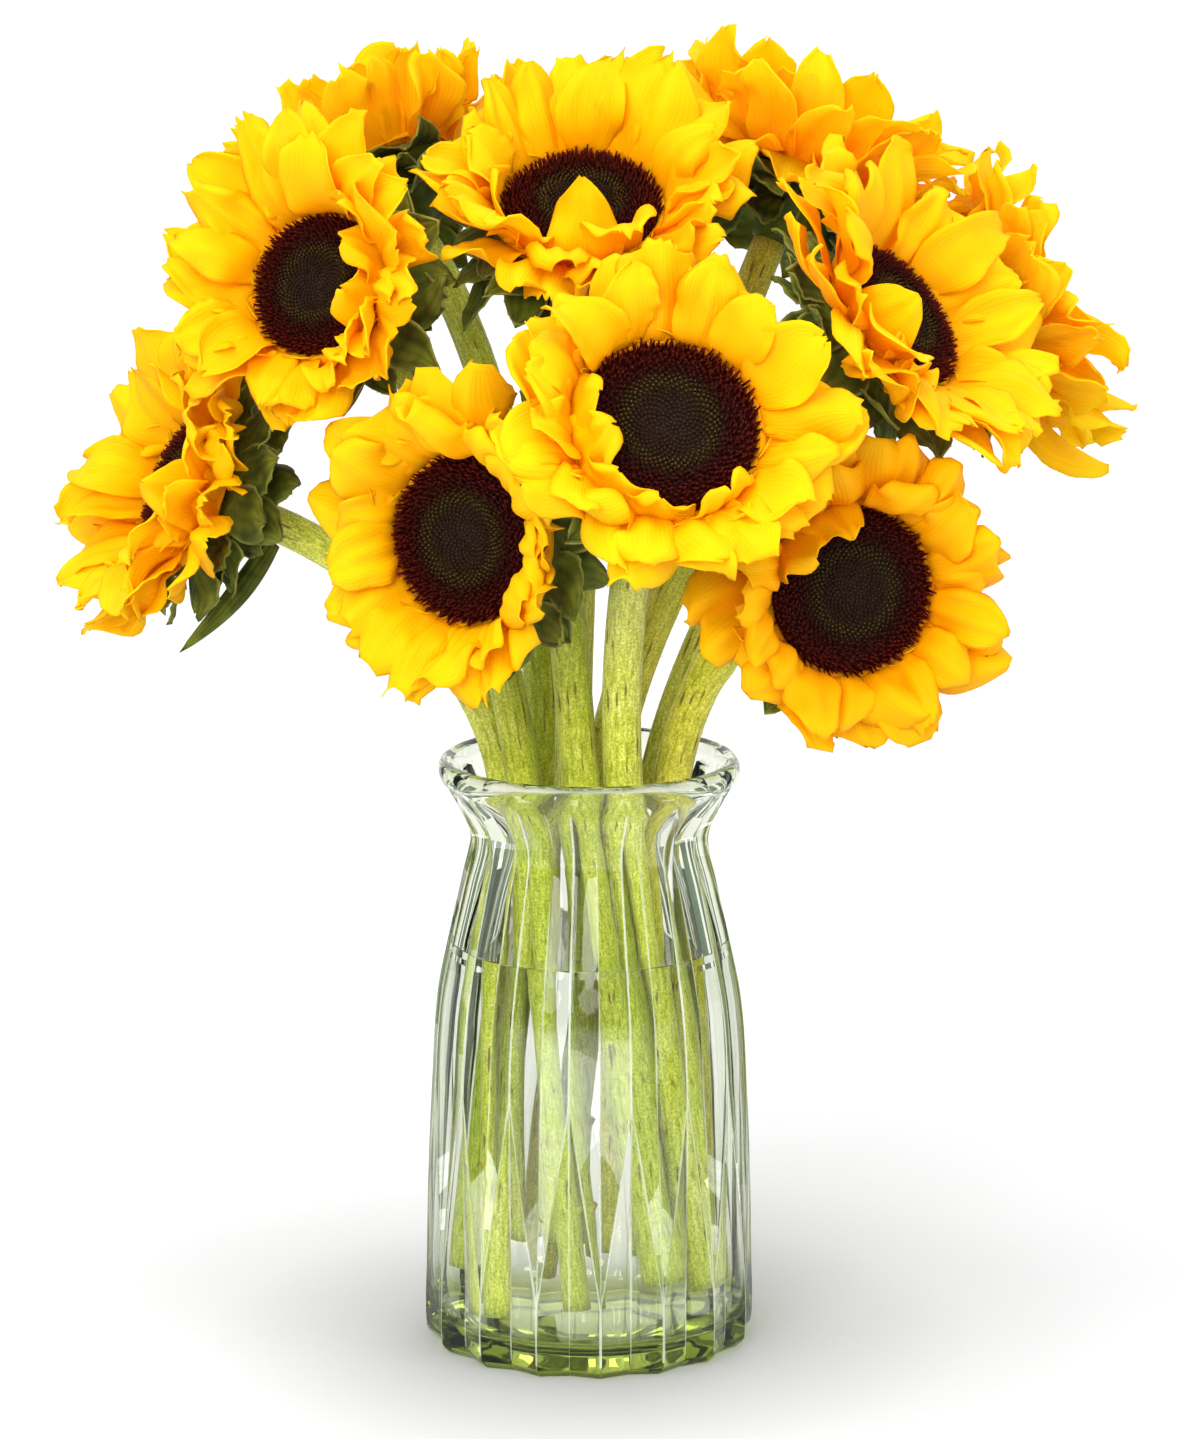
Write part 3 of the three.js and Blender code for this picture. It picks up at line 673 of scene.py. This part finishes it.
def makeDiscMesh():
    mesh, layer = newMesh()
    vary = random.Random(7).uniform
    radius, count, openFrom = florets["radius"], florets["count"], florets["openFrom"]
    for vert, across, share in grid(mesh, florets["sides"], florets["rings"]):
        turn = pi * (across + 1)
        setUv(vert, layer, share, 0)
        vert.co = polar(share * radius, turn, faceHeight(share))
    merge(mesh)
    rim = [edge for edge in mesh.edges if edge.is_boundary]
    wall = bmesh.ops.extrude_edge_only(mesh, edges=rim)["geom"]
    corners = [part for part in wall if isinstance(part, bmesh.types.BMVert)]
    bmesh.ops.translate(mesh, verts=corners, vec=(0, 0, -florets["back"]))
    fillHoles(mesh)
    faceOutwards(mesh)
    spikes = []
    for k in range(count):
        share = sqrt((k + 0.5) / count)
        foot = Matrix.Translation((share * radius, 0, faceHeight(share) - florets["sunk"]))
        spot = turnedBy(k * florets["goldenAngle"], "Z") @ foot
        if share < florets["budTo"]:
            spikes.append((share, spot @ turnedBy(-14, "Y"), *florets["bud"], 1.5 + 0.7 * share, 0.3))
        elif share < openFrom:
            stand = spot @ turnedBy(-6 + vary(-8, 8), "Y")
            spikes.append((share, stand, *florets["opening"], 2.2 + vary(-0.3, 0.4)))
        else:
            outward = (share - openFrom) / (1 - openFrom)
            lean = turnedBy(6 + 20 * outward * outward + vary(-10, 10), "Y")
            stand = spot @ (lean @ turnedBy(vary(-14, 14), "X"))
            tall = florets["anther"] * vary(0.75, 1.15) * (0.75 + 0.35 * outward)
            if share > 0.93:
                tall *= vary(0.7, 1.25)
            spikes.append((share, stand, *florets["open"], tall))
            top = stand @ Matrix.Translation((0, 0, tall - 0.15))
            for way in (-1, 1):
                fork = turnedBy(way * vary(25, 55), "X")
                spikes.append((share, top @ fork, *florets["fork"], florets["forkLength"], 0.85))
    addSpikes(mesh, spikes)
    return mesh


floretMaroon = makeFloretMaterial()
discMaster = makeDiscMesh()
for number, (name, flower) in enumerate(flowers.items()):
    mesh = discMaster.copy()
    scale = Matrix.Scale(flower["disc"] / florets["radius"], 4)
    matrix = headMatrix(flower) @ turnedBy(florets["turn"] * number, "Z") @ scale
    bmesh.ops.transform(mesh, matrix=matrix, verts=mesh.verts)
    newPiece(f"florets_{name}", mesh, floretMaroon, f"disc_{name}", smooth=False)
discMaster.free()
print("discs set")


# stalks

stalks = dict(
    neckHeight=190, footRing=40, footCore=13, turn=40, lean=55, crook=46, headDepth=27.6,
    sides=20, lowRows=34, highRows=30, hairs=420, hair=1.1, swell=0.09,
    swellLength=0.018, leafStub=(8, 2.4, 1, 4.6),  # sides, radius at foot and tip, length
    tints=dict(stalkPale=(1, 1, 0.9, 0.2), stalkOlive=(0.7, 0.76, 0.4, 0.8),
               stalkYellow=(1, 0.88, 0.45, 0.8)),  # with how strongly each tints the stalk
    scar=(0.15, 0.075, 0.015, 1), stub=(0.2, 0.1, 0.02, 1),
)
hairShape = (3, 0.09, 0)  # sides, and radius at the foot and at the tip


def stalkPath(flower):
    footRadius = stalks["footCore"] if flower["ring"] < 10 else stalks["footRing"]
    foot = polar(footRadius, radians(flower["neck"] + stalks["turn"]), flower["foot"])
    neck = polar(flower["ring"], radians(flower["neck"]), stalks["neckHeight"])
    lean = (neck - foot).normalized()
    end = headMatrix(flower) @ Vector((0, 0, -stalks["headDepth"]))
    face = Vector(flower["face"]).normalized()
    pulls = [neck, neck + lean * stalks["lean"], end - face * flower.get("crook", stalks["crook"]), end]
    low, high = stalks["lowRows"], stalks["highRows"]
    return [foot.lerp(neck, k / low) for k in range(low)] + [bezier(pulls, k / high) for k in range(high + 1)]


def makeStalkMaterial(name, tint):
    material, space, uv = newMaterial(name)
    along = onAxis(uv, "Y")
    lengthwise = stretched(uv, (12, 5, 1))
    streaks = noise(lengthwise, 2.6, 3, 0.64)
    base = colourRamp(streaks, [
        (0.26, (0.34, 0.37, 0.03)), (0.42, (0.56, 0.59, 0.09)), (0.56, (0.72, 0.73, 0.17)),
        (0.74, (0.86, 0.84, 0.42))])
    base = blended(mottle(space, 22, 0, 0.7), base, (0.3, 0.38, 0.05, 1), "SOFT_LIGHT")
    base = blended(tint[3], base, (*tint[:3], 1), "MULTIPLY")
    fuzz = noise(space, 1300)
    base = shaded(base, greyRamp(fuzz, (0.3, 0.72), (0.7, 1.14)))
    scars = greyRamp(noise(lengthwise, 1.5, 3), (0.62, 0), (0.68, 0.85))
    base = blended(scars, base, stalks["scar"])
    # painted shade: the stalk is darker where it stands in the vase, for the light that the glass and water
    # take away
    base = shaded(base, ranged(along, 1.35, 1.75, 0.84, 1))  # darker inside the vase
    base = blended(ranged(along, 3.3, 4, 0, 0.85), base, stalks["stub"])
    height = calculated("MULTIPLY_ADD", fuzz, 0.4, streaks)
    return finished(material, principled(base, 0.55, {
        "Specular IOR Level": 0.25, "Sheen Weight": 0.22, "Sheen Roughness": 0.45,
        "Sheen Tint": (0.92, 0.95, 0.72, 1), "Normal": bumped(height, 0.4 * mm)}))


def pathFrames(points):
    # a direction along, and two across, at each point of a path, without needless turning
    frames = []
    side = Vector((0, -1, 0))
    for k, point in enumerate(points):
        ahead = (points[min(k + 1, len(points) - 1)] - points[max(k - 1, 0)]).normalized()
        side = (side - ahead * side.dot(ahead)).normalized()
        frames.append((point, ahead, side, ahead.cross(side)))
    return frames


def besideFrame(frame, turn):
    # where a stalk's path has come to, its way ahead there, and a way out from it
    point, ahead, side, other = frame
    return point, ahead, side * cos(turn) + other * sin(turn)


def makeStalk(name, flower, material, chance):
    vary = chance.uniform
    mesh, layer = newMesh()
    frames = pathFrames(stalkPath(flower))
    rows = len(frames) - 1
    ribs = [vary(0, 6) for _ in range(3)]
    joints = [vary(0.1, 0.9) for _ in range(3)]
    for vert, across, along in grid(mesh, stalks["sides"], rows):
        turn = pi * (across + 1)
        setUv(vert, layer, (across + 1) / 2, along * 3)
        point, _, out = besideFrame(frames[round(along * rows)], turn)
        ribbed = 1 + 0.025 * cos(5 * turn + ribs[0]) + 0.02 * cos(3 * turn + ribs[1] + 4 * along)
        apart = [(along - joint) / stalks["swellLength"] for joint in joints]
        swell = sum(stalks["swell"] * exp(-(gap ** 2)) for gap in apart)
        radius = flower["stem"] * (0.96 * ribbed + swell)
        vert.co = point + out * radius
    merge(mesh)
    fillHoles(mesh)
    faceOutwards(mesh)
    spikes = []
    for joint in joints:
        # the stub of a leaf that was cut off; a foot of 3 in its UV marks it for the material
        point, ahead, out = besideFrame(frames[round(joint * rows)], vary(0, 2 * pi))
        stand = pointing(point + out * flower["stem"] * 0.72, (out + ahead * 0.9).normalized())
        spikes.append((0.5, stand, *stalks["leafStub"], 3))
    for _ in range(stalks["hairs"]):
        k = chance.randrange(stalks["lowRows"] - 4, rows)
        point, ahead, out = besideFrame(frames[k], vary(0, 2 * pi))
        out = (out + ahead * vary(-0.3, 0.3)).normalized()
        stand = pointing(point + ahead * vary(-2, 2) + out * flower["stem"] * 0.94, out)
        spikes.append((0.5, stand, *hairShape, stalks["hair"] * vary(0.6, 1.5)))
    addSpikes(mesh, spikes)
    newPiece(f"stalk_{name}", mesh, material, f"stem_{name}")


stalkGreens = [makeStalkMaterial(name, tint) for name, tint in stalks["tints"].items()]
for number, (name, flower) in enumerate(flowers.items()):
    makeStalk(name, flower, stalkGreens[number % len(stalkGreens)], random.Random(80 + number))
print("stalks bent")


# the green cups behind the heads, with their bracts

bracts = dict(
    rimCount=13, backCount=11, innerCount=8, length=23, width=17.5, columns=6, rows=12,
    thickness=0.6, hairs=26, hair=1.1, leastRise=-80, mostRise=24, leafWidth=8,
    fullness=1.9, cupRim=4.2,  # how far the cup's rim stands beyond the disc
    cup=[(0.04, -27.3), (0.11, -20.3), (0.3, -17.8), (0.58, -15.3), (0.85, -12), (1, -9.6), (0.97, -6.3)],
)


def makeBractMaterial():
    material, space, uv = newMaterial("bractGreen")
    base = colourRamp(onAxis(uv, "Y"), [
        (0, (0.12, 0.15, 0.014)), (0.4, (0.05, 0.07, 0.006)), (1, (0.14, 0.16, 0.014))])
    edge = greyRamp(onAxis(uv, "X"), (0, 1), (0.07, 0.1), (0.5, 0), (0.93, 0.1), (1, 1))
    base = blended(edge, base, (0.25, 0.27, 0.05, 1))
    lines = veins(uv, 4, 0.06)
    base = shaded(base, greyRamp(lines, (0, 0.8), (0.7, 1.05)))
    base = shaded(base, mottle(space, 160, 0.6, 1.4))
    height = calculated("MULTIPLY_ADD", noise(space, 1800), 0.7, lines)
    return finished(material, principled(base, 0.7, {
        "Specular IOR Level": 0.12, "Sheen Weight": 0.05, "Sheen Roughness": 0.5,
        "Sheen Tint": (0.75, 0.85, 0.6, 1), "Normal": bumped(height, 0.35 * mm)}))


def bractsOf(flower, chance):
    vary = chance.uniform
    first = 360 * chance.random()
    grown = []
    for count, start, root, height, lift in (
        (bracts["rimCount"], first, 1.5, -8.2, -14),
        (bracts["backCount"], first + 14, -1.5, -12, -26),
        (bracts["innerCount"], first + 7, -8, -16, -36),
    ):
        for k in range(count):
            grown.append(dict(
                angle=start + (k + vary(-0.2, 0.2)) * 360 / count, root=flower["disc"] + root, height=height,
                length=bracts["length"] * vary(0.85, 1.2) * flower.get("bractSize", 0.9),
                width=bracts["width"] * vary(0.85, 1.2), rise=vary(-22, 8) + lift, curl=vary(-10, 60),
                cup=vary(-0.6, 0.2), twist=vary(-30, 30), sweep=vary(-14, 14), tip=vary(-130, 60),
            ))
    for angle, rise, length in flower.get("longBracts", []):
        grown.append(dict(
            angle=angle, root=flower["disc"] - 1, height=-10, length=length, width=15, rise=rise, curl=-20,
            cup=0.3, twist=0, sweep=0, tip=0,
        ))
    for blade in grown:
        blade.update(
            matrix=headMatrix(flower), outline="bract", fullness=bracts["fullness"], ragged=0.03, roll=6,
            bow=vary(-10, 10), pleat=0.3, pleats=2, blunt=0.995, bite=0, teeth=1,
            hem=vary(-1.6, 2.2), frill=0.5, frills=4,
            waves=[(vary(0.3, 1.1), vary(1, 2.2), chance.random()) for _ in range(2)],
        )
    return grown


def addLeaf(mesh, layer, path):
    # one longer leaf along a bent path, its broad side to the front
    pulls = [Vector(point) for point in path]
    for vert, across, along in grid(mesh, bracts["columns"], bracts["rows"]):
        ahead = (pulls[1].lerp(pulls[3], along) - pulls[0].lerp(pulls[2], along)).normalized()
        side = ahead.cross(Vector((0, 1, 0.3))).normalized()
        half = bracts["leafWidth"] / 2 * outlineAt("bract", along, bracts["fullness"])
        setUv(vert, layer, (across + 1) / 2, along)
        hollow = side.cross(ahead) * half * 0.5 * across * across
        vert.co = bezier(pulls, along) + side * across * half + hollow


def addCup(mesh, layer, flower):
    wide, head = flower["disc"] + bracts["cupRim"], headMatrix(flower)
    profile = [(flower["stem"] + (wide - flower["stem"]) * share, height) for share, height in bracts["cup"]]
    profile = [(0, profile[0][1]), *profile, (0, profile[-1][1])]
    made = turned(mesh, profile, 32)
    for vert, _, row in made:
        setUv(vert, layer, 0.5, row / len(profile))
        vert.co = head @ vert.co
    merge(mesh, [vert for vert, _, _ in made])
    faceOutwards(mesh)


def fringeOf(blade, chance):
    # short hairs along a bract's edges
    vary = chance.uniform
    spine = bladeSpine(blade, bracts["rows"])
    spikes = []
    for _ in range(bracts["hairs"]):
        along = chance.randrange(1, bracts["rows"]) / bracts["rows"]
        edge = chance.choice((-1, 1))
        root = blade["matrix"] @ bladePoint(blade, spine, 0.97 * edge, along)
        inner = blade["matrix"] @ bladePoint(blade, spine, 0.4 * edge, along)
        out = (root - inner).normalized() + Vector([vary(-0.4, 0.4) for _ in range(3)])
        spikes.append((0.02, pointing(root, out), *hairShape, bracts["hair"] * vary(0.6, 1.4), 0.6))
    return spikes


bractGreen = makeBractMaterial()
bractTrees = []
for number, (name, flower) in enumerate(flowers.items()):
    chance = random.Random(120 + number)
    mesh, layer = newMesh()
    kept = addBlades(mesh, layer, bractsOf(flower, chance), fixedTrees + petalTrees + bractTrees, bracts)
    bractTrees.append(BVHTree.FromBMesh(mesh))
    if "leaf" in flower:
        addLeaf(mesh, layer, flower["leaf"])
    merge(mesh)
    bmesh.ops.solidify(mesh, geom=mesh.faces, thickness=bracts["thickness"])
    addSpikes(mesh, [spike for blade in kept for spike in fringeOf(blade, chance)])
    addCup(mesh, layer, flower)
    newPiece(f"bracts_{name}", mesh, bractGreen, f"calyx_{name}")
    print(f"bracts_{name}", len(kept))
print("bracts grown")


# the vase and its water

vase = dict(
    height=214, lobes=16, turn=4.1, wall=3, floor=10, foldFrom=26, foldTo=100,
    step=3, steps=64, deeper=2.4, foldWidth=0.028,
    # the painted glints along the pressed edges: their width, lift off the glass, first height and rows
    glintWidth=0.95, glintLift=0.04, glintFrom=5, glintRows=66,
    edgeShares=(1, 0.3, 0, 0, 0.3, 1, 0.3, 0, 0, 0.3, 1),  # how worn each line of half a lobe is
    # (height, radius of the ridges, depth of the hollows between them)
    levels=[(0, 55.6, 1.3), (3.5, 58.8, 1.4), (26, 58.9, 1.3), (100, 56.7, 1.3), (127, 54.7, 1.3),
            (150, 50.1, 1.2), (170, 45.6, 1.3), (186, 42.8, 1.5), (199, 48.2, 1.2), (204.5, 51.4, 0.4)],
    # (radius, height)
    rim=[(52.9, 206.5), (53.8, 209), (53.6, 211.6), (52.4, 213.4), (50.9, 214), (49.4, 213.3),
         (48.2, 211.4), (47.2, 208), (46, 204)],
    inside=[199, 194, 190, 186, 182, 177, 170, 160, 150, 138, 127, 110, 90, 70, 50, 30, 20],
    floorRound=[(15, 0.6), (12, 2.4), (10.4, 5), (10, 8)],  # height, and how far in from the wall
    underside=[(20, 3.1), (31, 2.8), (33, 1.6), (43, 1.3), (47, 0.5), (49, 0)],
)
halfLobe = len(vase["edgeShares"]) - 1  # faces across half a lobe
waterBody = dict(
    level=146, overlap=0.5, meniscus=0.7, sides=96, crease=40,
    curve=[(0, 1), (0.3, 0.5), (0.8, 0.15), (1.6, 0)],  # in from the wall, share of the meniscus
)


def smoothLevel(height, column):
    # a smooth curve through the vase's levels
    levels = vase["levels"]
    k = max(1, next((i for i, level in enumerate(levels) if level[0] >= height), len(levels) - 1))
    low, high = levels[k - 1], levels[k]
    before, after = levels[max(k - 2, 0)], levels[min(k + 1, len(levels) - 1)]
    span = high[0] - low[0]
    t = (height - low[0]) / span
    slopeLow = (high[column] - before[column]) / (high[0] - before[0]) * span
    slopeHigh = (after[column] - low[column]) / (after[0] - low[0]) * span
    return ((2 * t ** 3 - 3 * t * t + 1) * low[column] + (t ** 3 - 2 * t * t + t) * slopeLow
            + (3 * t * t - 2 * t ** 3) * high[column] + (t ** 3 - t * t) * slopeHigh)


def insideRadius(height):
    return smoothLevel(height, 1) - smoothLevel(height, 2) - vase["wall"]


def lobeLines(height):
    # where the lines of a half lobe run between a lower ridge (0) and an upper ridge (1), close
    # together beside each edge: the fold between the ridges leans from the one to the other
    t = min(0.985, max(0.015, (height - vase["foldFrom"]) / (vase["foldTo"] - vase["foldFrom"])))
    w = min(vase["foldWidth"], t / 4, (1 - t) / 4)
    return t, (0, w, 2 * w, t - 2 * w, t - w, t, t + w, t + 2 * w, 1 - 2 * w, 1 - w, 1)


def lobePlace(height, k):
    # how far across its half lobe line k is, and its radius
    t, lines = lobeLines(height)
    across = lines[k]
    ridge = smoothLevel(height, 1)
    hollow = ridge - smoothLevel(height, 2) * vase["deeper"]
    first, last = hollow * t + ridge * (1 - t), ridge * t + hollow * (1 - t)
    low, high, start, end = (0, t, first, ridge) if across <= t else (t, 1, ridge, last)
    # straight across each face, seen from above
    span = pi / vase["lobes"] * (high - low)
    turn = pi / vase["lobes"] * (across - low)
    return across, start * end * sin(span) / (start * sin(turn) + end * sin(span - turn))


def mirrored(k):
    # the second half of a lobe is the first one's mirror image
    return k if k <= halfLobe else 2 * halfLobe - k


def lobeAngle(lobe, k, across):
    column = 2 * lobe + (across if k <= halfLobe else 2 - across)
    return radians(vase["turn"] - 90 + column * 180 / vase["lobes"])


def throughGlass(shader, colour):
    # light falls straight through, a little tinted
    clear = place(shader.id_data, "BsdfTransparent", {"Color": colour})
    isShadow = place(shader.id_data, "LightPath").outputs["Is Shadow Ray"]
    return mixShader(isShadow, shader, clear.outputs[0])


def makeGlassMaterial():
    material, space, uv = newMaterial("vaseGlass")
    # painted reflection: the foot is tinted olive towards the floor, for the green stalks that the thick base
    # shows, on top of the glass's own green
    base = colourRamp(onAxis(uv, "Y"), [
        (0.02, (0.68, 0.72, 0.15)), (0.05, (0.7, 0.77, 0.32)), (0.095, (0.97, 0.98, 0.965))])
    worn = greyRamp(onAxis(uv, "X"), (0, 0), (0.3, 0), (0.6, 0.3), (1, 0.65))
    glass = principled(base, worn, {
        "IOR": 1.5, "Transmission Weight": 1,
        "Normal": bumped(noise(space, 30), 0.25 * mm, 0.5)})
    tint = place(material.node_tree, "VolumeAbsorption", {"Color": (0.73, 0.78, 0.46, 1), "Density": 56})
    return finished(material, throughGlass(glass, (0.84, 0.88, 0.8, 1)), tint.outputs[0])


def makeWaterMaterial():
    material, space, _ = newMaterial("vaseWater")
    water = principled((0.985, 0.995, 0.99, 1), 0, {
        "IOR": 1.333, "Transmission Weight": 1,
        "Normal": bumped(noise(space, 40), 0.1 * mm, 0.5)})
    return finished(material, throughGlass(water, (0.97, 0.99, 0.97, 1)))


def makePaintedGlintMaterial():
    material, space, _ = newMaterial("vasePaintedGlint")
    # painted highlight: a pale, half see-through colour for the glints on the pressed edges
    base = shaded((0.88, 0.95, 0.86), mottle(space, 60, 0.8, 1))
    return finished(material, principled(base, 0.25, {"Alpha": 0.34}))


def makeVase():
    mesh, layer = newMesh()
    inner = insideRadius(vase["inside"][-1])
    # the heights of the lobed rows; the other rows are round
    lobed = [0, 0.8, 2.2] + [3.5 + vase["step"] * k for k in range(vase["steps"] + 1)] + [199, 202, 204.5]
    rows = [(0, 3.2)] + vase["underside"] + [(None, z) for z in lobed] + vase["rim"]
    rows += [(insideRadius(z), z) for z in vase["inside"]]
    rows += [(inner - back, z) for z, back in vase["floorRound"]] + [(20, vase["floor"]), (0, vase["floor"])]
    lines = vase["lobes"] * 2 * halfLobe
    for vert, x, y in grid(mesh, lines, len(rows) - 1):
        lobe, k = divmod(round((x + 1) / 2 * lines), 2 * halfLobe)
        radius, z = rows[round(y * (len(rows) - 1))]
        worn, across = 0, mirrored(k) / halfLobe
        if radius is None:
            across, radius = lobePlace(z, mirrored(k))
            worn = vase["edgeShares"][mirrored(k)]
        angle = lobeAngle(lobe, k, across)
        setUv(vert, layer, worn, z / vase["height"])
        vert.co = polar(radius, angle, z)
    merge(mesh, reach=0.0005)
    faceOutwards(mesh)
    newPiece("vaseGlass", mesh, makeGlassMaterial(), "vase")


def makePaintedGlints():
    # painted glint: pale strips that run along each pressed edge, wide in some places and gone in others
    mesh, layer = newMesh()
    chance = random.Random(3)
    rows = vase["glintRows"]
    for lobe in range(vase["lobes"]):
        for k in range(0, 2 * halfLobe, halfLobe // 2):
            starts = [chance.uniform(0, 6) for _ in range(2)]
            for vert, side, along in grid(mesh, 1, rows):
                z = vase["glintFrom"] + vase["step"] * round(along * rows)
                across, radius = lobePlace(z, mirrored(k))
                angle = lobeAngle(lobe, k, across)
                share = 0.5 + 0.3 * sin(z / 9 + starts[0]) + 0.2 * sin(z / 23 + starts[1])
                half = vase["glintWidth"] / 2 * max(0.06, share)
                setUv(vert, layer, (side + 1) / 2, z / vase["height"])
                out = polar(1, angle) * (radius + vase["glintLift"])
                beside = Vector((-sin(angle), cos(angle), 0)) * side * half
                vert.co = out + beside + Vector((0, 0, z))
    faceOutwards(mesh)
    newPiece("vasePaintedGlints", mesh, makePaintedGlintMaterial(), "vase")


def makeWater():
    mesh = bmesh.new()
    level, lap, rise = waterBody["level"], waterBody["overlap"], waterBody["meniscus"]
    inner, edge = insideRadius(vase["inside"][-1]), insideRadius(level)
    rows = [(0, vase["floor"] - lap)]
    rows += [(inner - back + lap, z - lap) for z, back in reversed(vase["floorRound"])]
    rows += [(insideRadius(z) + lap, z) for z in reversed(vase["inside"]) if z < level - 1]
    rows += [(edge + lap, level - 3), (edge + lap, level + rise)]
    rows += [(edge - back, level + rise * share) for back, share in waterBody["curve"]]
    turned(mesh, rows + [(20, level), (0, level)], waterBody["sides"])
    merge(mesh)
    faceOutwards(mesh)
    for side in mesh.edges:
        side.smooth = side.calc_face_angle(0) < radians(waterBody["crease"])
    newPiece("waterInVase", mesh, makeWaterMaterial(), "water")


makeVase()
makePaintedGlints()
makeWater()
print("vase filled")


# floor, light and camera

studio = dict(
    floor=14, nearFloor=0.574, farFloor=0.74, sky=1.2, dark=0.12,
    cardAway=0.3, cardGlow=3.4, glowFrom=0.26, glowTo=2.2,
    slats=(-0.44, -0.3, -0.16, -0.02, 0.12, 0.26, 0.4), slat=0.045,
    glowAngles=((60, 72), (-60, -46), (-98, -88), (112, 122), (-13, -8), (24, 28)),
)
lamps = dict(  # kind, place, target, size, power
    topLamp=("SUN", (-0.4, -0.5, 1.9), (0, 0, 0), radians(42), 1.5),
    frontLamp=("AREA", (-0.7, -2.3, 1.2), (0, 0, 0.35), 1.6, 48),
    sideLamp=("AREA", (1.7, -1, 0.9), (0, 0, 0.3), 1.2, 12),
    backLamp=("AREA", (0.4, 1.1, 1.5), (0, 0, 0.4), 1, 7),
)
view = dict(place=(0.0039, -2.2, 0.7), down=12.13, lens=158.36)


def makeFloor():
    # a little darker near the vase, where the lamps add their light, and a painted shadow ring close round
    # the vase's foot
    material, space, _ = newMaterial("studioFloor")
    level = ranged(away(space), 0.4, 2.6, studio["nearFloor"], studio["farFloor"], "SMOOTHSTEP")
    # painted shadow: the floor is darkest just outside the vase's foot and fades back to full brightness
    # further out, with none under the foot
    ring = colourRamp(ranged(away(space), 0, 0.2), [
        (spot, (share * 0.985, share * 0.988, share)) for spot, share in (
            (0, 1), (0.22, 1), (0.285, 0.7), (0.4, 0.78), (0.7, 0.95), (1, 1))])
    value = calculated("MULTIPLY", level, mottle(space, 3, 0.99, 1))
    finished(material, principled(shaded(ring, value), 0.8, {"Specular IOR Level": 0}))
    mesh = bmesh.new()
    bmesh.ops.create_grid(mesh, x_segments=1, y_segments=1, size=studio["floor"])
    newObject("studioFloor", mesh, material)


def makeCards(name, colour, glow, cards):
    # cards beside the vase that only its glass can see: dark ones for its outline, bright ones for its faces
    material, space, _ = newMaterial(name)
    base = shaded(colour, mottle(stretched(space, (20, 20, 2)), 3, 0.6, 2.6))
    finished(material, principled(base, 0.9, {
        "Emission Color": (0.93, 1, 0.95, 1),
        "Emission Strength": ranged(away(space), 0.5, 2.2, glow, 0, "SMOOTHSTEP")}))
    mesh = bmesh.new()
    for placed in cards:
        for vert, x, y in grid(mesh, 1, 1):
            vert.co = placed(x, y)
    made = newObject(name, mesh, material)
    made.visible_camera = made.visible_diffuse = made.visible_shadow = made.visible_volume_scatter = False
    made.visible_transmission = not glow


def slatCard(side, middle):
    # upright, at one side of the vase
    return lambda x, y: (side * studio["cardAway"], middle + studio["slat"] * x, 0.4 * y)


def glowCard(first, last):
    # lying on the floor, from near the vase outwards
    return lambda x, y: polar(
        studio["glowTo"] if y else studio["glowFrom"], radians((first if x < 0 else last) - 90), 0.002)


def makeSky():
    # a white room, darker low down in front and at the sides, which gives the glass its edges
    world = bpy.data.worlds.new("studio")
    world.use_nodes = True
    tree = world.node_tree
    tree.nodes.clear()
    way = place(tree, "TexCoord").outputs["Generated"]
    height = ranged(onAxis(way, "Z"), 0.12, 0.5, curve="SMOOTHSTEP")
    behind = ranged(onAxis(way, "Y"), 0.35, 0.8, curve="SMOOTHSTEP")
    level = ranged(calculated("MAXIMUM", height, behind), 0, 1, studio["dark"], 1)
    light = place(tree, "Background", {"Color": level, "Strength": studio["sky"]})
    place(tree, "OutputWorld", {"Surface": light.outputs[0]})
    scene.world = world


def makeLamp(name, kind, spot, target, size, power):
    data = bpy.data.lights.new(name, kind)
    data.energy = power
    if kind == "SUN":
        data.angle = size
    else:
        data.shape, data.size = "DISK", size
    lamp = bpy.data.objects.new(name, data)
    lamp.location = spot
    lamp.rotation_euler = (Vector(target) - Vector(spot)).to_track_quat("-Z", "Y").to_euler()
    lamp.visible_glossy = False  # no veil of light over the glass
    scene.collection.objects.link(lamp)


def makeCamera():
    data = bpy.data.cameras.new("camera")
    data.lens, data.sensor_width, data.clip_end = view["lens"], 36, 50
    camera = bpy.data.objects.new("camera", data)
    camera.location = view["place"]
    camera.rotation_euler = (radians(90 - view["down"]), 0, 0)
    scene.collection.objects.link(camera)
    scene.camera = camera


makeFloor()
makeCards("darkCards", (0.11, 0.15, 0.12), 0, [
    slatCard(side, middle) for side in (-1, 1) for middle in studio["slats"]])
makeCards("brightCards", (0.9, 0.9, 0.9), studio["cardGlow"], [
    glowCard(first, last) for first, last in studio["glowAngles"]])
makeSky()
for name, lamp in lamps.items():
    makeLamp(name, *lamp)
makeCamera()
scene.view_settings.view_transform = "Standard"
print("studio lit")
